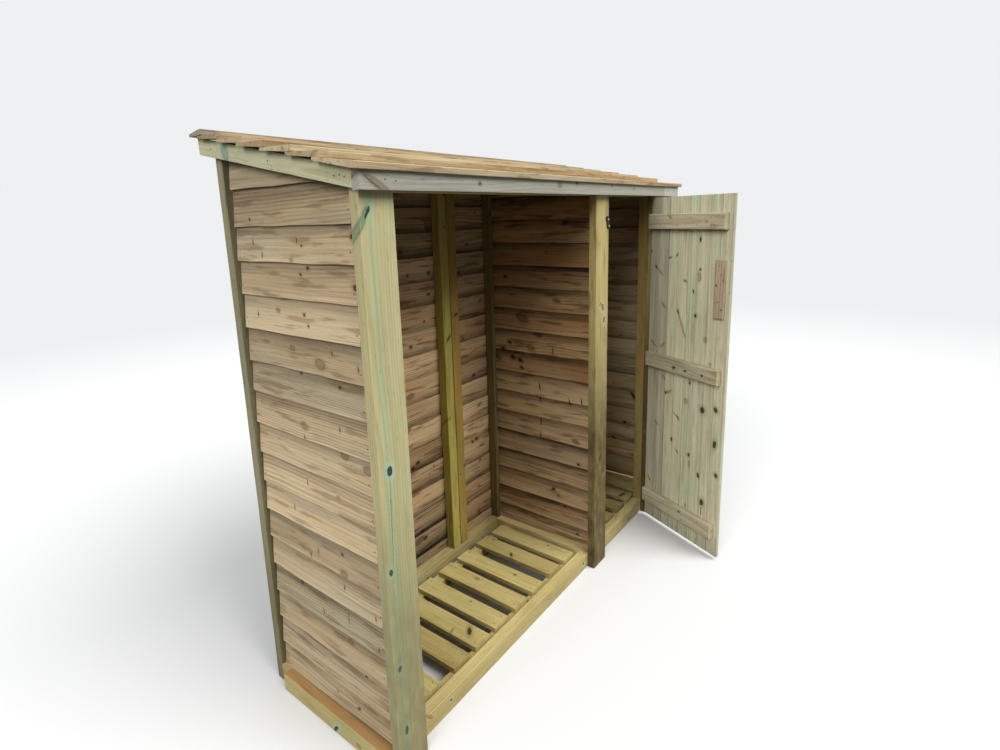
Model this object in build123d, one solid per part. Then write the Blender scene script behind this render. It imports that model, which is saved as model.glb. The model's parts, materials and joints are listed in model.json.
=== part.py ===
from build123d import *
from math import ceil, cos, radians, sin, tan
import os

# Timber log store with a narrow cupboard at its right hand end.
# Millimetres. X runs to the right along the front, Y to the back, Z up from the ground.
# While it is being built, X = 0 is the outer face of the left posts, Y = 0 is the front
# face of the front base rail and Z = 0 is the ground.

# Overall sizes
WIDTH = 1800.0            # outer face of the left posts to outer face of the right posts
DEPTH = 500.0             # front face of the front rail to back face of the rear rail
ROOF_HEIGHT = 1520.0      # underside of the roof boards above the front rail's front face
ROOF_PITCH_DEG = 11.0     # the roof falls to the front

# Posts, rails and battens
POST_W = 98.0
POST_T = 30.0
DOORWAY_W = 434.0         # between the middle post and the door post
CORNER_POST_GAP = 7.0     # between the door post and the corner post
RAIL_H = 58.0
RAIL_T = 36.0
SIDE_RAIL_PROUD = 18.0    # side rails stand out past the outer face of the posts
DIVISION_RAIL_RECESS = 5.0   # division rail back from the left face of the middle post
TOP_RAIL_H = 46.0
BATTEN_W = 44.0
CORNER_BATTEN_W = 20.0
BATTEN_T = 38.0
BACK_SEAM = 244.5         # seam of the two back panels, to the left of the middle post
BACK_SEAM_GAP = 3.0
ARRIS = 1.5               # eased long edges of the sawn timber

# Lapped wall boards
BOARD_PITCH = 90.0
BOARD_LAP = 18.0
BOARD_THICK = 9.0         # at the lower edge
BOARD_THIN = 5.0          # at the upper edge
WALL_RECESS = 8.0         # side boards lie back from the outer face of the posts
DIVISION_RECESS = 35.0    # division boards back from the left face of the middle post
WALL_END_GAP = 8.0        # board ends short of the posts
BACK_WALL_FOOT = 8.0      # back boards run down over the rear rail
SIDE_TRIM = 6.0           # cut off the lower edge of the lowest board to fit it
DIVISION_TRIM = 18.0
BACK_TRIM = 20.0

# Slatted floor
SLAT_T = 18.0
SLAT_W = 75.0
SLAT_PITCH = 114.5
SLAT_SIDE_GAP = 30.0      # first slat short of the division rail
SLAT_SLIP = (0, 10, -1, 5, 3, 13, 23, 2, 0)   # how far each slat was laid off its place
SLAT_FRONT_GAP = 14.0     # slat ends short of the front rail
SLAT_REAR_GAP = 47.0      # slat ends short of the rear rail
BEARER_T = 32.0

# Fascia, barges and roof
FASCIA_T = 23.0
FASCIA_H = 46.0
FASCIA_END = 166.0        # length of the pieced-in right hand end
BARGE_T = 14.0
BARGE_H = 42.0
ROOF_REAR = 50.0          # barges past the back of the rear posts
ROOF_EAVE = 9.0           # front board past the face of the fascia
ROOF_SIDE = 20.0          # board ends past the barges
ROOF_FIRST = 117.0        # width of the first board that shows
ROOF_SHOW = 98.0          # width of every other board that shows
ROOF_LAP = 20.0
ROOF_THICK = 15.0
ROOF_THIN = 7.0
ROOF_TAIL = 8.0           # last board past the rear ends of the barges

# Cupboard door
DOOR_OPEN_DEG = 64.5
DOOR_GAP = 8.0
DOOR_FOOT = 15.0
DOOR_HEAD_GAP = 7.0
DOOR_T = 14.0
DOOR_BOARDS = 4
DOOR_GROOVE = 2.5
LEDGE_T = 26.0
LEDGE_H = 61.0
LEDGE_FOOT = 77.0         # bottom ledge above the foot of the door
LEDGE_HEAD = 67.0         # top ledge below the head of the door
LEDGE_RAISE = 28.0        # middle ledge above half way
LEDGE_HINGE_END = 11.0
LEDGE_FREE_END = 19.0
PAD_W = 46.0
PAD_H = 220.0
PAD_DROP = 113.0          # pad below the top ledge
PAD_T = 12.0

# Tee hinges and latch keep
LEAF_T = 3.0
LEAF_W = 34.0
LEAF_H = 110.0
KNUCKLE_R = 5.0
PIN_R = 2.5
PIN_FREE = 0.1
STRAP_LENGTH = 240.0
STRAP_ROOT_H = 40.0
STRAP_TIP_H = 18.0
KNUCKLE_FREE = 0.5
KEEP_W = 16.0
KEEP_H = 48.0
KEEP_T = 4.0
KEEP_DROP = 73.0          # keep below the fascia
KEEP_INSET = 12.5         # from the edge of the post to the middle of the keep
KEEP_LEAN_DEG = 19.0

# Places that follow from the sizes above
SLOPE = tan(radians(ROOF_PITCH_DEG))
RAIL_INNER_X = RAIL_T - SIDE_RAIL_PROUD
WALL_THICK = BOARD_THICK + BOARD_THIN
WALL_INNER_X = WALL_RECESS + WALL_THICK
DOOR_POST_X = WIDTH - POST_W - CORNER_POST_GAP - POST_W
MIDDLE_POST_END = DOOR_POST_X - DOORWAY_W
MIDDLE_POST_X = MIDDLE_POST_END - POST_W
DIVISION_RAIL_X = MIDDLE_POST_X + DIVISION_RAIL_RECESS
DIVISION_INNER_X = MIDDLE_POST_X + DIVISION_RECESS + WALL_THICK
FASCIA_Z = ROOF_HEIGHT - SLOPE * (POST_T + FASCIA_T) - FASCIA_H + SLOPE * FASCIA_T
SLAT_FRONT_Y = RAIL_T + SLAT_FRONT_GAP
REAR_RAIL_Y = DEPTH - BATTEN_T
SLAT_REAR_Y = REAR_RAIL_Y - SLAT_REAR_GAP
BARGE_REAR_Y = DEPTH + POST_T + ROOF_REAR
DOOR_HINGE_X = DOOR_POST_X - DOOR_GAP
DOOR_FREE_X = MIDDLE_POST_END + DOOR_GAP
DOOR_W = DOOR_HINGE_X - DOOR_FREE_X
DOOR_TOP = FASCIA_Z - DOOR_HEAD_GAP
BOTTOM_LEDGE_Z = DOOR_FOOT + LEDGE_FOOT
TOP_LEDGE_Z = DOOR_TOP - LEDGE_HEAD - LEDGE_H
MIDDLE_LEDGE_Z = (BOTTOM_LEDGE_Z + TOP_LEDGE_Z) / 2 + LEDGE_RAISE
PIN_X = DOOR_POST_X - DOOR_GAP / 2
PIN_Y = -POST_T - KNUCKLE_R
EAVE_Y = -POST_T - FASCIA_T - ROOF_EAVE


def roof_z(y):
    """Height of the roof plane, the underside of the boards, at a distance back."""
    return ROOF_HEIGHT + SLOPE * y


def block(x0, x1, y0, y1, z0, z1):
    """A square-edged piece between two corners."""
    return Pos(x0, y0, z0) * Box(x1 - x0, y1 - y0, z1 - z0, align=(Align.MIN,) * 3)


def timber(x0, x1, y0, y1, z0, z1):
    """A sawn length between two corners, with its four long edges eased."""
    spans = ((x1 - x0, Axis.X), (y1 - y0, Axis.Y), (z1 - z0, Axis.Z))
    along = max(spans, key=lambda span: span[0])[1]
    return chamfer(block(x0, x1, y0, y1, z0, z1).edges().filter_by(along), ARRIS)


def prism(points, along):
    """A closed outline in space, drawn out along a vector."""
    way = Vector(*along)
    return extrude(make_face(Polyline(*points, close=True)), amount=way.length, dir=way)


def under_roof(piece):
    """The piece with its top cut to the roof plane."""
    size = piece.bounding_box()
    low, high = size.min.Y - POST_T, size.max.Y + POST_T
    top = size.max.Z + DEPTH
    left = size.min.X - POST_T
    outline = [(left, low, roof_z(low)), (left, high, roof_z(high)), (left, high, top),
               (left, low, top)]
    return piece - prism(outline, (size.size.X + 2 * POST_T, 0, 0))


def lapped_section(foot, trim, top):
    """Outline of a wall of lapped boards: (distance out from the battens, height).

    Each board is thin at its upper edge, which lies on the batten, and thick at its lower
    edge, which rides over the board below, so both faces of the wall are saw-toothed. The
    lowest board has its lower edge cut back to the foot of the wall.
    """
    height = BOARD_PITCH + BOARD_LAP
    taper_out = (WALL_THICK - BOARD_THIN) / height
    taper_in = BOARD_THIN / height
    outer, inner = [], [(BOARD_THIN - taper_in * trim, foot)]
    low = foot - trim
    while low < top:
        start = max(low, foot)
        outer += [(WALL_THICK - taper_out * (start - low), start),
                  (WALL_THICK - taper_out * BOARD_PITCH, low + BOARD_PITCH)]
        inner += [(0, low + height), (taper_in * BOARD_PITCH, low + height)]
        low += BOARD_PITCH
    inner = inner[:-2] + [(0, low)]
    return outer + list(reversed(inner))


def side_boards(inner_x, out, y0, y1, trim):
    """Lapped boards that run front to back, with their thick edges towards out (-1 or 1)."""
    section = lapped_section(RAIL_H, trim, roof_z(y1))
    outline = [(inner_x + out * u, y0, z) for u, z in section]
    return under_roof(prism(outline, (0, y1 - y0, 0)))


def back_boards(x0, x1):
    """Lapped boards that run left to right on the back of the rear battens."""
    section = lapped_section(BACK_WALL_FOOT, BACK_TRIM, roof_z(DEPTH + WALL_THICK))
    outline = [(x0, DEPTH + u, z) for u, z in section]
    return under_roof(prism(outline, (x1 - x0, 0, 0)))


def post(x, y):
    """A flat post from the ground to the roof plane, with its wide face to the front."""
    return under_roof(timber(x, x + POST_W, y, y + POST_T, 0, roof_z(y + POST_T)))


def batten(x, y, top_rail_z, width=BATTEN_W):
    """An upright from the base rail to the underside of the top rail."""
    return timber(x, x + width, y, y + BATTEN_T, RAIL_H, top_rail_z)


def slats(x_left, x_right, slips):
    """Floor slats that run front to back, laid from the right until the bay is full."""
    laid = []
    right = x_right - SLAT_SIDE_GAP
    while right - SLAT_W > x_left:
        slip = slips[len(laid) % len(slips)]
        laid.append(timber(right + slip - SLAT_W, right + slip, SLAT_FRONT_Y, SLAT_REAR_Y,
                           RAIL_H - SLAT_T, RAIL_H))
        right -= SLAT_PITCH
    return Compound(laid)


def bearers(y):
    """The pair of bearers under the slats of both bays, at one distance back."""
    top = RAIL_H - SLAT_T
    main_bay = block(RAIL_INNER_X, DIVISION_RAIL_X, y, y + BEARER_T, 0, top)
    cupboard = block(DIVISION_RAIL_X + RAIL_T, WIDTH - RAIL_INNER_X, y, y + BEARER_T, 0, top)
    return Compound([main_bay, cupboard])


def barge(x):
    """A sloping board on the ends of the roof, cut plumb at both ends."""
    front = -POST_T
    outline = [(x, front, roof_z(front) - BARGE_H), (x, BARGE_REAR_Y, roof_z(BARGE_REAR_Y) - BARGE_H),
               (x, BARGE_REAR_Y, roof_z(BARGE_REAR_Y)), (x, front, roof_z(front))]
    return prism(outline, (BARGE_T, 0, 0))


def fascia(x0, x1):
    """A length of the board across the front, with its top cut to the roof plane."""
    front = -POST_T - FASCIA_T
    return under_roof(block(x0, x1, front, -POST_T, FASCIA_Z, roof_z(0)))


def roof_spans():
    """Where each roof board starts and ends up the slope; the last is cut at the barge ends."""
    length = (BARGE_REAR_Y + ROOF_TAIL - EAVE_Y) / cos(radians(ROOF_PITCH_DEG))
    spans, low, show = [], 0.0, ROOF_FIRST
    while low + 2 * ROOF_LAP < length:
        spans.append((low, min(low + show + ROOF_LAP, length)))
        low += show
        show = ROOF_SHOW
    return spans


def roof_lifts(spans):
    """Height of each roof board's lower edge, which rides on the board below."""
    lifts = [0.0]
    for (below_low, below_high), (low, high) in zip(spans, spans[1:]):
        share = (below_high - low) / (below_high - below_low)
        on_face = ROOF_THIN + (lifts[-1] + ROOF_THICK - ROOF_THIN) * share
        on_edge = ROOF_THIN * (high - low) / (high - below_high)
        lifts.append(max(on_face, on_edge))
    return lifts


def roof_board(span, lift):
    """One board of the roof: it lies on the roof plane behind and on the next board below."""
    low, high = span
    section = [(low, lift), (high, 0.0), (high, ROOF_THIN), (low, lift + ROOF_THICK)]
    along, rise = cos(radians(ROOF_PITCH_DEG)), sin(radians(ROOF_PITCH_DEG))
    left = -BARGE_T - ROOF_SIDE
    outline = [(left, EAVE_Y + s * along - n * rise, roof_z(EAVE_Y) + s * rise + n * along)
               for s, n in section]
    return prism(outline, (WIDTH - 2 * left, 0, 0))


def swing(piece):
    """A piece of the closed door, turned about the hinge pins to where the door stands."""
    pins = Pos(PIN_X, PIN_Y, 0)
    return pins * Rot(0, 0, DOOR_OPEN_DEG) * pins.inverse() * piece


def door_boards():
    """The upright boards of the door in one leaf, with a V joint between each pair."""
    leaf = block(DOOR_FREE_X, DOOR_HINGE_X, -POST_T, -POST_T + DOOR_T, DOOR_FOOT, DOOR_TOP)
    for index in range(1, DOOR_BOARDS):
        x = DOOR_FREE_X + index * DOOR_W / DOOR_BOARDS
        for y, depth in ((-POST_T, DOOR_GROOVE), (-POST_T + DOOR_T, -DOOR_GROOVE)):
            groove = [(x - DOOR_GROOVE, y, DOOR_FOOT), (x + DOOR_GROOVE, y, DOOR_FOOT),
                      (x, y + depth, DOOR_FOOT)]
            leaf -= prism(groove, (0, 0, DOOR_TOP - DOOR_FOOT))
    return leaf


def ledge(z):
    """A batten across the inner face of the door, short of both edges."""
    face = -POST_T + DOOR_T
    return timber(DOOR_FREE_X + LEDGE_FREE_END, DOOR_HINGE_X - LEDGE_HINGE_END,
                  face, face + LEDGE_T, z, z + LEDGE_H)


def barrel(z0, z1, bore):
    """A length of hinge barrel on the pin line."""
    ring = Cylinder(KNUCKLE_R, z1 - z0) - Cylinder(bore, z1 - z0)
    return Pos(PIN_X, PIN_Y, (z0 + z1) / 2) * ring


def hinge_post_leaf(z):
    """The leaf on the post, its two barrels and the pin that they hold."""
    face = -POST_T
    leaf = block(DOOR_POST_X, DOOR_POST_X + LEAF_W, face - LEAF_T, face, z - LEAF_H / 2, z + LEAF_H / 2)
    leaf = chamfer(leaf.edges().filter_by(Axis.Y).group_by(Axis.X)[-1], LEAF_T)
    half = STRAP_ROOT_H / 2 + KNUCKLE_FREE
    leaf -= Pos(PIN_X, PIN_Y, z) * Cylinder(KNUCKLE_R + KNUCKLE_FREE, 2 * half)
    end = LEAF_H / 2
    for low, high in ((z - end, z - half), (z + half, z + end)):
        leaf += barrel(low, high, PIN_R)
        leaf += block(PIN_X, DOOR_POST_X, face - LEAF_T, face, low, high) \
            - Pos(PIN_X, PIN_Y, z) * Cylinder(PIN_R, LEAF_H)
    return leaf + Pos(PIN_X, PIN_Y, z) * Cylinder(PIN_R, LEAF_H)


def hinge_strap(z):
    """The long tapered strap on the outer face of the door, with the middle barrel."""
    face = -POST_T
    root, tip = STRAP_ROOT_H / 2, STRAP_TIP_H / 2
    end = DOOR_HINGE_X - STRAP_LENGTH
    outline = [(PIN_X, face, z - root), (DOOR_HINGE_X, face, z - root), (end, face, z - tip),
               (end - tip, face, z), (end, face, z + tip), (DOOR_HINGE_X, face, z + root),
               (PIN_X, face, z + root)]
    strap = prism(outline, (0, -LEAF_T, 0)) - Pos(PIN_X, PIN_Y, z) * Cylinder(KNUCKLE_R, STRAP_ROOT_H)
    return strap + barrel(z - root, z + root, PIN_R + PIN_FREE)


def latch_keep():
    """The small leaning keep on the front of the middle post, beside the door."""
    face = -POST_T
    plate = Box(KEEP_W, KEEP_T, KEEP_H)
    plate = fillet(plate.edges().filter_by(Axis.Y), KEEP_W / 2.5)
    middle_z = FASCIA_Z - KEEP_DROP - KEEP_H / 2
    lean = Pos(MIDDLE_POST_END - KEEP_INSET, face - KEEP_T / 2, middle_z)
    return lean * Rot(0, -KEEP_LEAN_DEG, 0) * plate


def build():
    """Every piece of the store by name, in the order that it goes together."""
    right_inner = WIDTH - RAIL_INNER_X
    front_top_z = FASCIA_Z
    rear_top_z = roof_z(REAR_RAIL_Y) - TOP_RAIL_H
    rear_post_y = DEPTH
    pieces = {}
    pieces["front_base_rail"] = timber(RAIL_INNER_X, right_inner, 0, RAIL_T, 0, RAIL_H)
    pieces["rear_base_rail"] = timber(0, WIDTH, REAR_RAIL_Y, DEPTH, 0, RAIL_H)
    pieces["left_base_rail"] = timber(-SIDE_RAIL_PROUD, RAIL_INNER_X, 0, REAR_RAIL_Y, 0,
                                      RAIL_H)
    pieces["right_base_rail"] = timber(right_inner, WIDTH + SIDE_RAIL_PROUD, 0, REAR_RAIL_Y, 0,
                                       RAIL_H)
    pieces["division_base_rail"] = timber(DIVISION_RAIL_X, DIVISION_RAIL_X + RAIL_T, RAIL_T,
                                          REAR_RAIL_Y, 0, RAIL_H)
    pieces["front_floor_bearers"] = bearers(RAIL_T)
    pieces["rear_floor_bearers"] = bearers(SLAT_REAR_Y - BEARER_T)
    pieces["main_floor_slats"] = slats(RAIL_INNER_X, DIVISION_RAIL_X, SLAT_SLIP)
    pieces["cupboard_floor_slats"] = slats(DIVISION_RAIL_X + RAIL_T, right_inner, (0,))
    pieces["front_left_post"] = post(0, -POST_T)
    pieces["front_middle_post"] = post(MIDDLE_POST_X, -POST_T)
    pieces["door_post"] = post(DOOR_POST_X, -POST_T)
    pieces["front_right_post"] = post(WIDTH - POST_W, -POST_T)
    pieces["rear_left_post"] = post(0, rear_post_y)
    pieces["rear_right_post"] = post(WIDTH - POST_W, rear_post_y)

    right_batten_x = WIDTH - WALL_INNER_X - BATTEN_W
    front_battens = [WALL_INNER_X, DIVISION_INNER_X, DOOR_POST_X, right_batten_x]
    rear_battens = [WALL_INNER_X, DIVISION_INNER_X, right_batten_x]
    seam_left = MIDDLE_POST_X - BACK_SEAM - BACK_SEAM_GAP / 2
    seam_right = seam_left + BACK_SEAM_GAP
    middle_battens = [seam_left - BATTEN_W, seam_right]
    corner_x = MIDDLE_POST_X + DIVISION_RECESS - CORNER_BATTEN_W
    pieces["front_battens"] = Compound([batten(x, 0, front_top_z) for x in front_battens])
    pieces["rear_battens"] = Compound([batten(x, REAR_RAIL_Y, rear_top_z) for x in rear_battens])
    pieces["middle_back_battens"] = Compound([batten(x, REAR_RAIL_Y, rear_top_z)
                                              for x in middle_battens])
    pieces["division_corner_batten"] = batten(corner_x, REAR_RAIL_Y, rear_top_z, CORNER_BATTEN_W)
    top_rail_ends = (WALL_INNER_X, WIDTH - WALL_INNER_X)
    pieces["front_top_rail"] = under_roof(block(*top_rail_ends, 0, BATTEN_T, front_top_z,
                                                roof_z(BATTEN_T)))
    pieces["rear_top_rail"] = under_roof(block(*top_rail_ends, REAR_RAIL_Y, DEPTH,
                                               rear_top_z, roof_z(DEPTH)))

    wall_ends = (WALL_END_GAP, DEPTH - WALL_END_GAP)
    pieces["left_wall"] = side_boards(WALL_INNER_X, -1, *wall_ends, SIDE_TRIM)
    pieces["right_wall"] = side_boards(WIDTH - WALL_INNER_X, 1, *wall_ends, SIDE_TRIM)
    division = side_boards(DIVISION_INNER_X, -1, *wall_ends, DIVISION_TRIM)
    rail_ends = [(0, BATTEN_T, front_top_z), (REAR_RAIL_Y, DEPTH, rear_top_z)]
    for y0, y1, z in rail_ends:
        division -= block(0, WIDTH, y0, y1, z, roof_z(DEPTH))
    pieces["division_wall"] = division
    pieces["back_wall_left"] = back_boards(POST_W + WALL_END_GAP, seam_left)
    pieces["back_wall_right"] = back_boards(seam_right, WIDTH - POST_W - WALL_END_GAP)

    pieces["left_barge"] = barge(-BARGE_T)
    pieces["right_barge"] = barge(WIDTH)
    fascia_right = WIDTH + BARGE_T
    pieces["front_fascia"] = fascia(-BARGE_T, fascia_right - FASCIA_END)
    pieces["fascia_end_piece"] = fascia(fascia_right - FASCIA_END, fascia_right)
    spans = roof_spans()
    for number, (span, lift) in enumerate(zip(spans, roof_lifts(spans)), start=1):
        pieces[f"roof_board_{number}"] = roof_board(span, lift)

    pieces["door_boards"] = swing(door_boards())
    pieces["door_bottom_ledge"] = swing(ledge(BOTTOM_LEDGE_Z))
    pieces["door_middle_ledge"] = swing(ledge(MIDDLE_LEDGE_Z))
    pieces["door_top_ledge"] = swing(ledge(TOP_LEDGE_Z))
    pad_x = DOOR_FREE_X + LEDGE_FREE_END
    pad_y = -POST_T + DOOR_T
    pad_top = TOP_LEDGE_Z - PAD_DROP
    pieces["door_latch_pad"] = swing(timber(pad_x, pad_x + PAD_W, pad_y, pad_y + PAD_T,
                                            pad_top - PAD_H, pad_top))
    hinge_zs = [z + LEDGE_H / 2 for z in (BOTTOM_LEDGE_Z, TOP_LEDGE_Z)]
    pieces["hinge_straps"] = Compound([swing(hinge_strap(z)) for z in hinge_zs])
    pieces["hinge_post_leaves"] = Compound([hinge_post_leaf(z) for z in hinge_zs])
    pieces["latch_keep"] = latch_keep()
    return pieces


def solid_list(shape):
    """The solids of a piece, whatever it was made from."""
    return list(shape.solids())


# The finished part stands on the middle of its own bounding box.
pieces = build()
whole = Compound([solid for shape in pieces.values() for solid in solid_list(shape)])
size = whole.bounding_box()
shift = Pos(-size.center().X, -size.center().Y, -size.min.Z)
os.makedirs("parts", exist_ok=True)
for name, shape in pieces.items():
    solids = [shift * solid for solid in solid_list(shape)]
    placed = solids[0] if len(solids) == 1 else Compound(solids)
    export_step(placed, f"parts/{name}.step")
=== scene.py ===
"""Looks of a timber log store with a tool cupboard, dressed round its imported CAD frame.

Every piece is in metres in the frame of the CAD model. Places that are measured on the object
are in millimetres from the corner where the back of the front left post meets its outer face.
"""
import json
import logging
import math
import random
from dataclasses import dataclass, field, replace
from dataclasses import dataclass, field, replace
from enum import Enum
from functools import cache
from typing import Any, Iterable, Sequence

import bmesh
import bpy
from mathutils import Matrix, Vector, noise


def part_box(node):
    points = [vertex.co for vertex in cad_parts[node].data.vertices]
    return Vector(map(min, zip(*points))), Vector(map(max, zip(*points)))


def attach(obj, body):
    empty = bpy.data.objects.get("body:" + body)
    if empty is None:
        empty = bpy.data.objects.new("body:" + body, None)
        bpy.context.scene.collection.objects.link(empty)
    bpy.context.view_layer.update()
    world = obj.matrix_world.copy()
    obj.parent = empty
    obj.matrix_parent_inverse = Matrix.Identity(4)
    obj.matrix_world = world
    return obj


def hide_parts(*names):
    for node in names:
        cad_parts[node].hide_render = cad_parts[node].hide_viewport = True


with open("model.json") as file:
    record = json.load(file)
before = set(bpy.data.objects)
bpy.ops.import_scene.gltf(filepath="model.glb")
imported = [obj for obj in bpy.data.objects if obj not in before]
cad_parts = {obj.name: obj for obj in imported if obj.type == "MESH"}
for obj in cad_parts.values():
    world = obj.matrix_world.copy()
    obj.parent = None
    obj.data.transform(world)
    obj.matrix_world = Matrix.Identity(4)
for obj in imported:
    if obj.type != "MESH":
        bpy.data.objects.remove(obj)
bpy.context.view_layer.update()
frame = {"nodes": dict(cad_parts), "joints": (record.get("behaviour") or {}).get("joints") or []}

LOG = logging.getLogger("log_store")
Colour = tuple[float, float, float]
Triple = tuple[float, float, float]
Box = tuple[Vector, Vector]

MM = 0.001
SAME_POINT = 1e-6         # points nearer than this, in metres, are one
SAME_CORNER = 1e-5        # the same for corners read off the CAD model
KNOT_SLOTS = 7            # knots that one length of timber can carry
LIVE_OFFSET = 9.0         # keeps live knots out of the pattern of dead ones, and the other way round
UP, LEFT, RIGHT = Vector((0, 0, 1)), Vector((-1, 0, 0)), Vector((1, 0, 0))
FRONT, BACK = Vector((0, -1, 0)), Vector((0, 1, 0))


class Face(Enum):
    """Which faces of a length of timber take which finish, as material places on the piece."""

    SIDE = 0
    END = 1
    METAL = 2
    RIPPED = 3


class KnotKind(Enum):
    """How a knot sits in its board."""

    DEAD = 0.0
    LIVE = LIVE_OFFSET


def corner() -> Vector:
    """The corner that measured places start from: front left post, outer face, back face."""
    low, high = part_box("front_left_post")
    return Vector((low.x, high.y, 0.0))


def at(x: float, y: float, z: float) -> Vector:
    """A measured place in the row frame.

    Args:
        x: millimetres to the right of the corner.
        y: millimetres behind the corner.
        z: millimetres above the ground.

    Returns:
        The same point in metres.
    """
    return corner() + Vector((x, y, z)) * MM


def solids_of(node: str) -> list[Box]:
    """The boxes of the separate solids of a CAD node, from left to right and front to back.

    Args:
        node: name of the CAD node.

    Returns:
        Lowest and highest corner of each solid.
    """
    bm = bmesh.new()
    bm.from_mesh(frame["nodes"][node].data)
    bmesh.ops.remove_doubles(bm, verts=bm.verts, dist=SAME_POINT)
    boxes: list[Box] = []
    left = set(bm.verts)
    while left:
        group, edge = set(), [left.pop()]
        while edge:
            vert = edge.pop()
            group.add(vert)
            for link in vert.link_edges:
                other = link.other_vert(vert)
                if other in left:
                    left.discard(other)
                    edge.append(other)
        points = [v.co for v in group]
        boxes.append((Vector(map(min, *points)), Vector(map(max, *points))))
    bm.free()
    return sorted(boxes, key=lambda box: (round(box[0].x, 4), round(box[0].y, 4)))


def end_points(node: str) -> list[Vector]:
    """The corners of a CAD prism's left end.

    Args:
        node: name of the CAD node.

    Returns:
        The four corners, front pair first and the lower of each pair first.
    """
    low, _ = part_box(node)
    found: list[Vector] = []
    for vert in frame["nodes"][node].data.vertices:
        new = all((vert.co - p).length > SAME_CORNER for p in found)
        if new and vert.co.x < low.x + SAME_CORNER:
            found.append(vert.co.copy())
    found.sort(key=lambda p: p.y)
    return [p for pair in (found[:2], found[-2:]) for p in sorted(pair, key=lambda p: p.z)]


def meshed(bm: bmesh.types.BMesh, name: str) -> bpy.types.Mesh:
    """Makes a mesh of a finished shape.

    Args:
        bm: the shape, which can't be used afterwards.
        name: name of the mesh.

    Returns:
        The mesh.
    """
    mesh = bpy.data.meshes.new(name)
    bm.to_mesh(mesh)
    bm.free()
    return mesh


def placed(name: str, data: Any) -> bpy.types.Object:
    """Puts a mesh, lamp or camera in the scene.

    Args:
        name: name of its object.
        data: what the object shows.

    Returns:
        The object.
    """
    made = bpy.data.objects.new(name, data)
    bpy.context.scene.collection.objects.link(made)
    return made


# Materials


class Pattern(Enum):
    """Kinds of noise in the finishes.

    The numbers are how fine it is along and across the grain, how many finer layers it has, and
    an offset that keeps two kinds from looking alike.
    """

    ARCHES = (1.3, 5.0, 1.0, 11.0)
    PLAIN_PARTS = (0.9, 4.0, 1.0, 91.0)
    HEARTWOOD = (0.8, 8.0, 2.0, 57.0)
    TINT = (1.7, 7.0, 3.0, 31.0)
    SMUDGES = (7.0, 52.0, 6.0, 43.0)
    WASH_EDGE = (2.6, 10.0, 3.0, 71.0)
    WASH_PATCHES = (7.0, 30.0, 3.0, 77.0)
    KNOT_GRIT = (240.0, 240.0, 2.0, 0.0)
    FIBRES = (3.0, 230.0, 3.0, 0.0)
    CLOUDS = (2.2, 9.0, 2.0, 5.0)
    BANDS = (4.5, 60.0, 6.0, 23.0)
    PORES = (14.0, 1300.0, 1.0, 5.0)
    TICKS = (34.0, 260.0, 1.0, 87.0)
    DIRT = (20.0, 40.0, 3.0, 3.0)
    WAVERING = (2.4, 9.0, 2.0, 0.0)
    TORN_FIBRES = (12.0, 420.0, 2.0, 2.0)
    WORN_METAL = (180.0, 180.0, 4.0, 0.0)
    METAL_GRIT = (1400.0, 1400.0, 2.0, 0.0)


class Signal:
    """A number, vector or colour in a tree of nodes, which plain sums work on."""

    def __init__(self, bench: "Bench", socket: bpy.types.NodeSocket) -> None:
        """Holds an output in the bench's tree."""
        self.bench, self.socket = bench, socket
        self.spatial = socket.type in ("VECTOR", "RGBA")

    def math(self, operation: str, *others: Any, output: Any = 0, **settings: Any) -> "Signal":
        """A Math or Vector Math node on this signal.

        Args:
            operation: what the node works out.
            others: what it works with besides this signal.
            output: name or number of the output that is wanted.
            settings: properties of the node.

        Returns:
            The result.
        """
        kind = "ShaderNodeVectorMath" if self.spatial else "ShaderNodeMath"
        inputs = {0: self, 3: others[0]} if operation == "SCALE" else dict(enumerate((self, *others)))
        return self.bench.out(kind, inputs, output, operation=operation, **settings)

    def __add__(self, other: Any) -> "Signal":
        """The sum."""
        return self.math("ADD", other)

    def __sub__(self, other: Any) -> "Signal":
        """The difference."""
        return self.math("SUBTRACT", other)

    def __mul__(self, other: Any) -> "Signal":
        """The product; a vector takes one number, or three that work one by one."""
        return self.math("SCALE" if self.spatial and not isinstance(other, tuple) else "MULTIPLY", other)

    def __truediv__(self, other: Any) -> "Signal":
        """The quotient."""
        return self.math("DIVIDE", other)

    def dot(self, other: "Signal") -> "Signal":
        """The dot product."""
        return self.math("DOT_PRODUCT", other, output="Value")

    def split(self) -> list["Signal"]:
        """The three numbers of a vector."""
        node = self.bench.add("ShaderNodeSeparateXYZ", {0: self})
        return [Signal(self.bench, socket) for socket in node.outputs]

    def step(self, low: float, high: float, top: Any = 1.0) -> "Signal":
        """A smooth step.

        Args:
            low: where it is 0; this may be the larger of the two.
            high: where it reaches the top.
            top: its height, which may be a signal.

        Returns:
            The height of the step for this value.
        """
        start, end = (0.0, top) if low < high else (top, 0.0)
        inputs = {"Value": self, 1: min(low, high), 2: max(low, high), 3: start, 4: end}
        return self.bench.out("ShaderNodeMapRange", inputs, interpolation_type="SMOOTHSTEP")

    def toward(self, colour: Any, share: Any) -> "Signal":
        """This colour, taken towards another."""
        return self.bench.blend(self, colour, share)

    def speckle(self, pattern: Pattern) -> "Signal":
        """Noise at this place.

        Args:
            pattern: its kind.

        Returns:
            The noise, from 0 to 1.
        """
        along, across, detail, offset = pattern.value
        place = self * (along, across, across) + (offset, offset, offset)
        return self.bench.out("ShaderNodeTexNoise", {"Vector": place, "Scale": 1.0, "Detail": detail})


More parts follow.
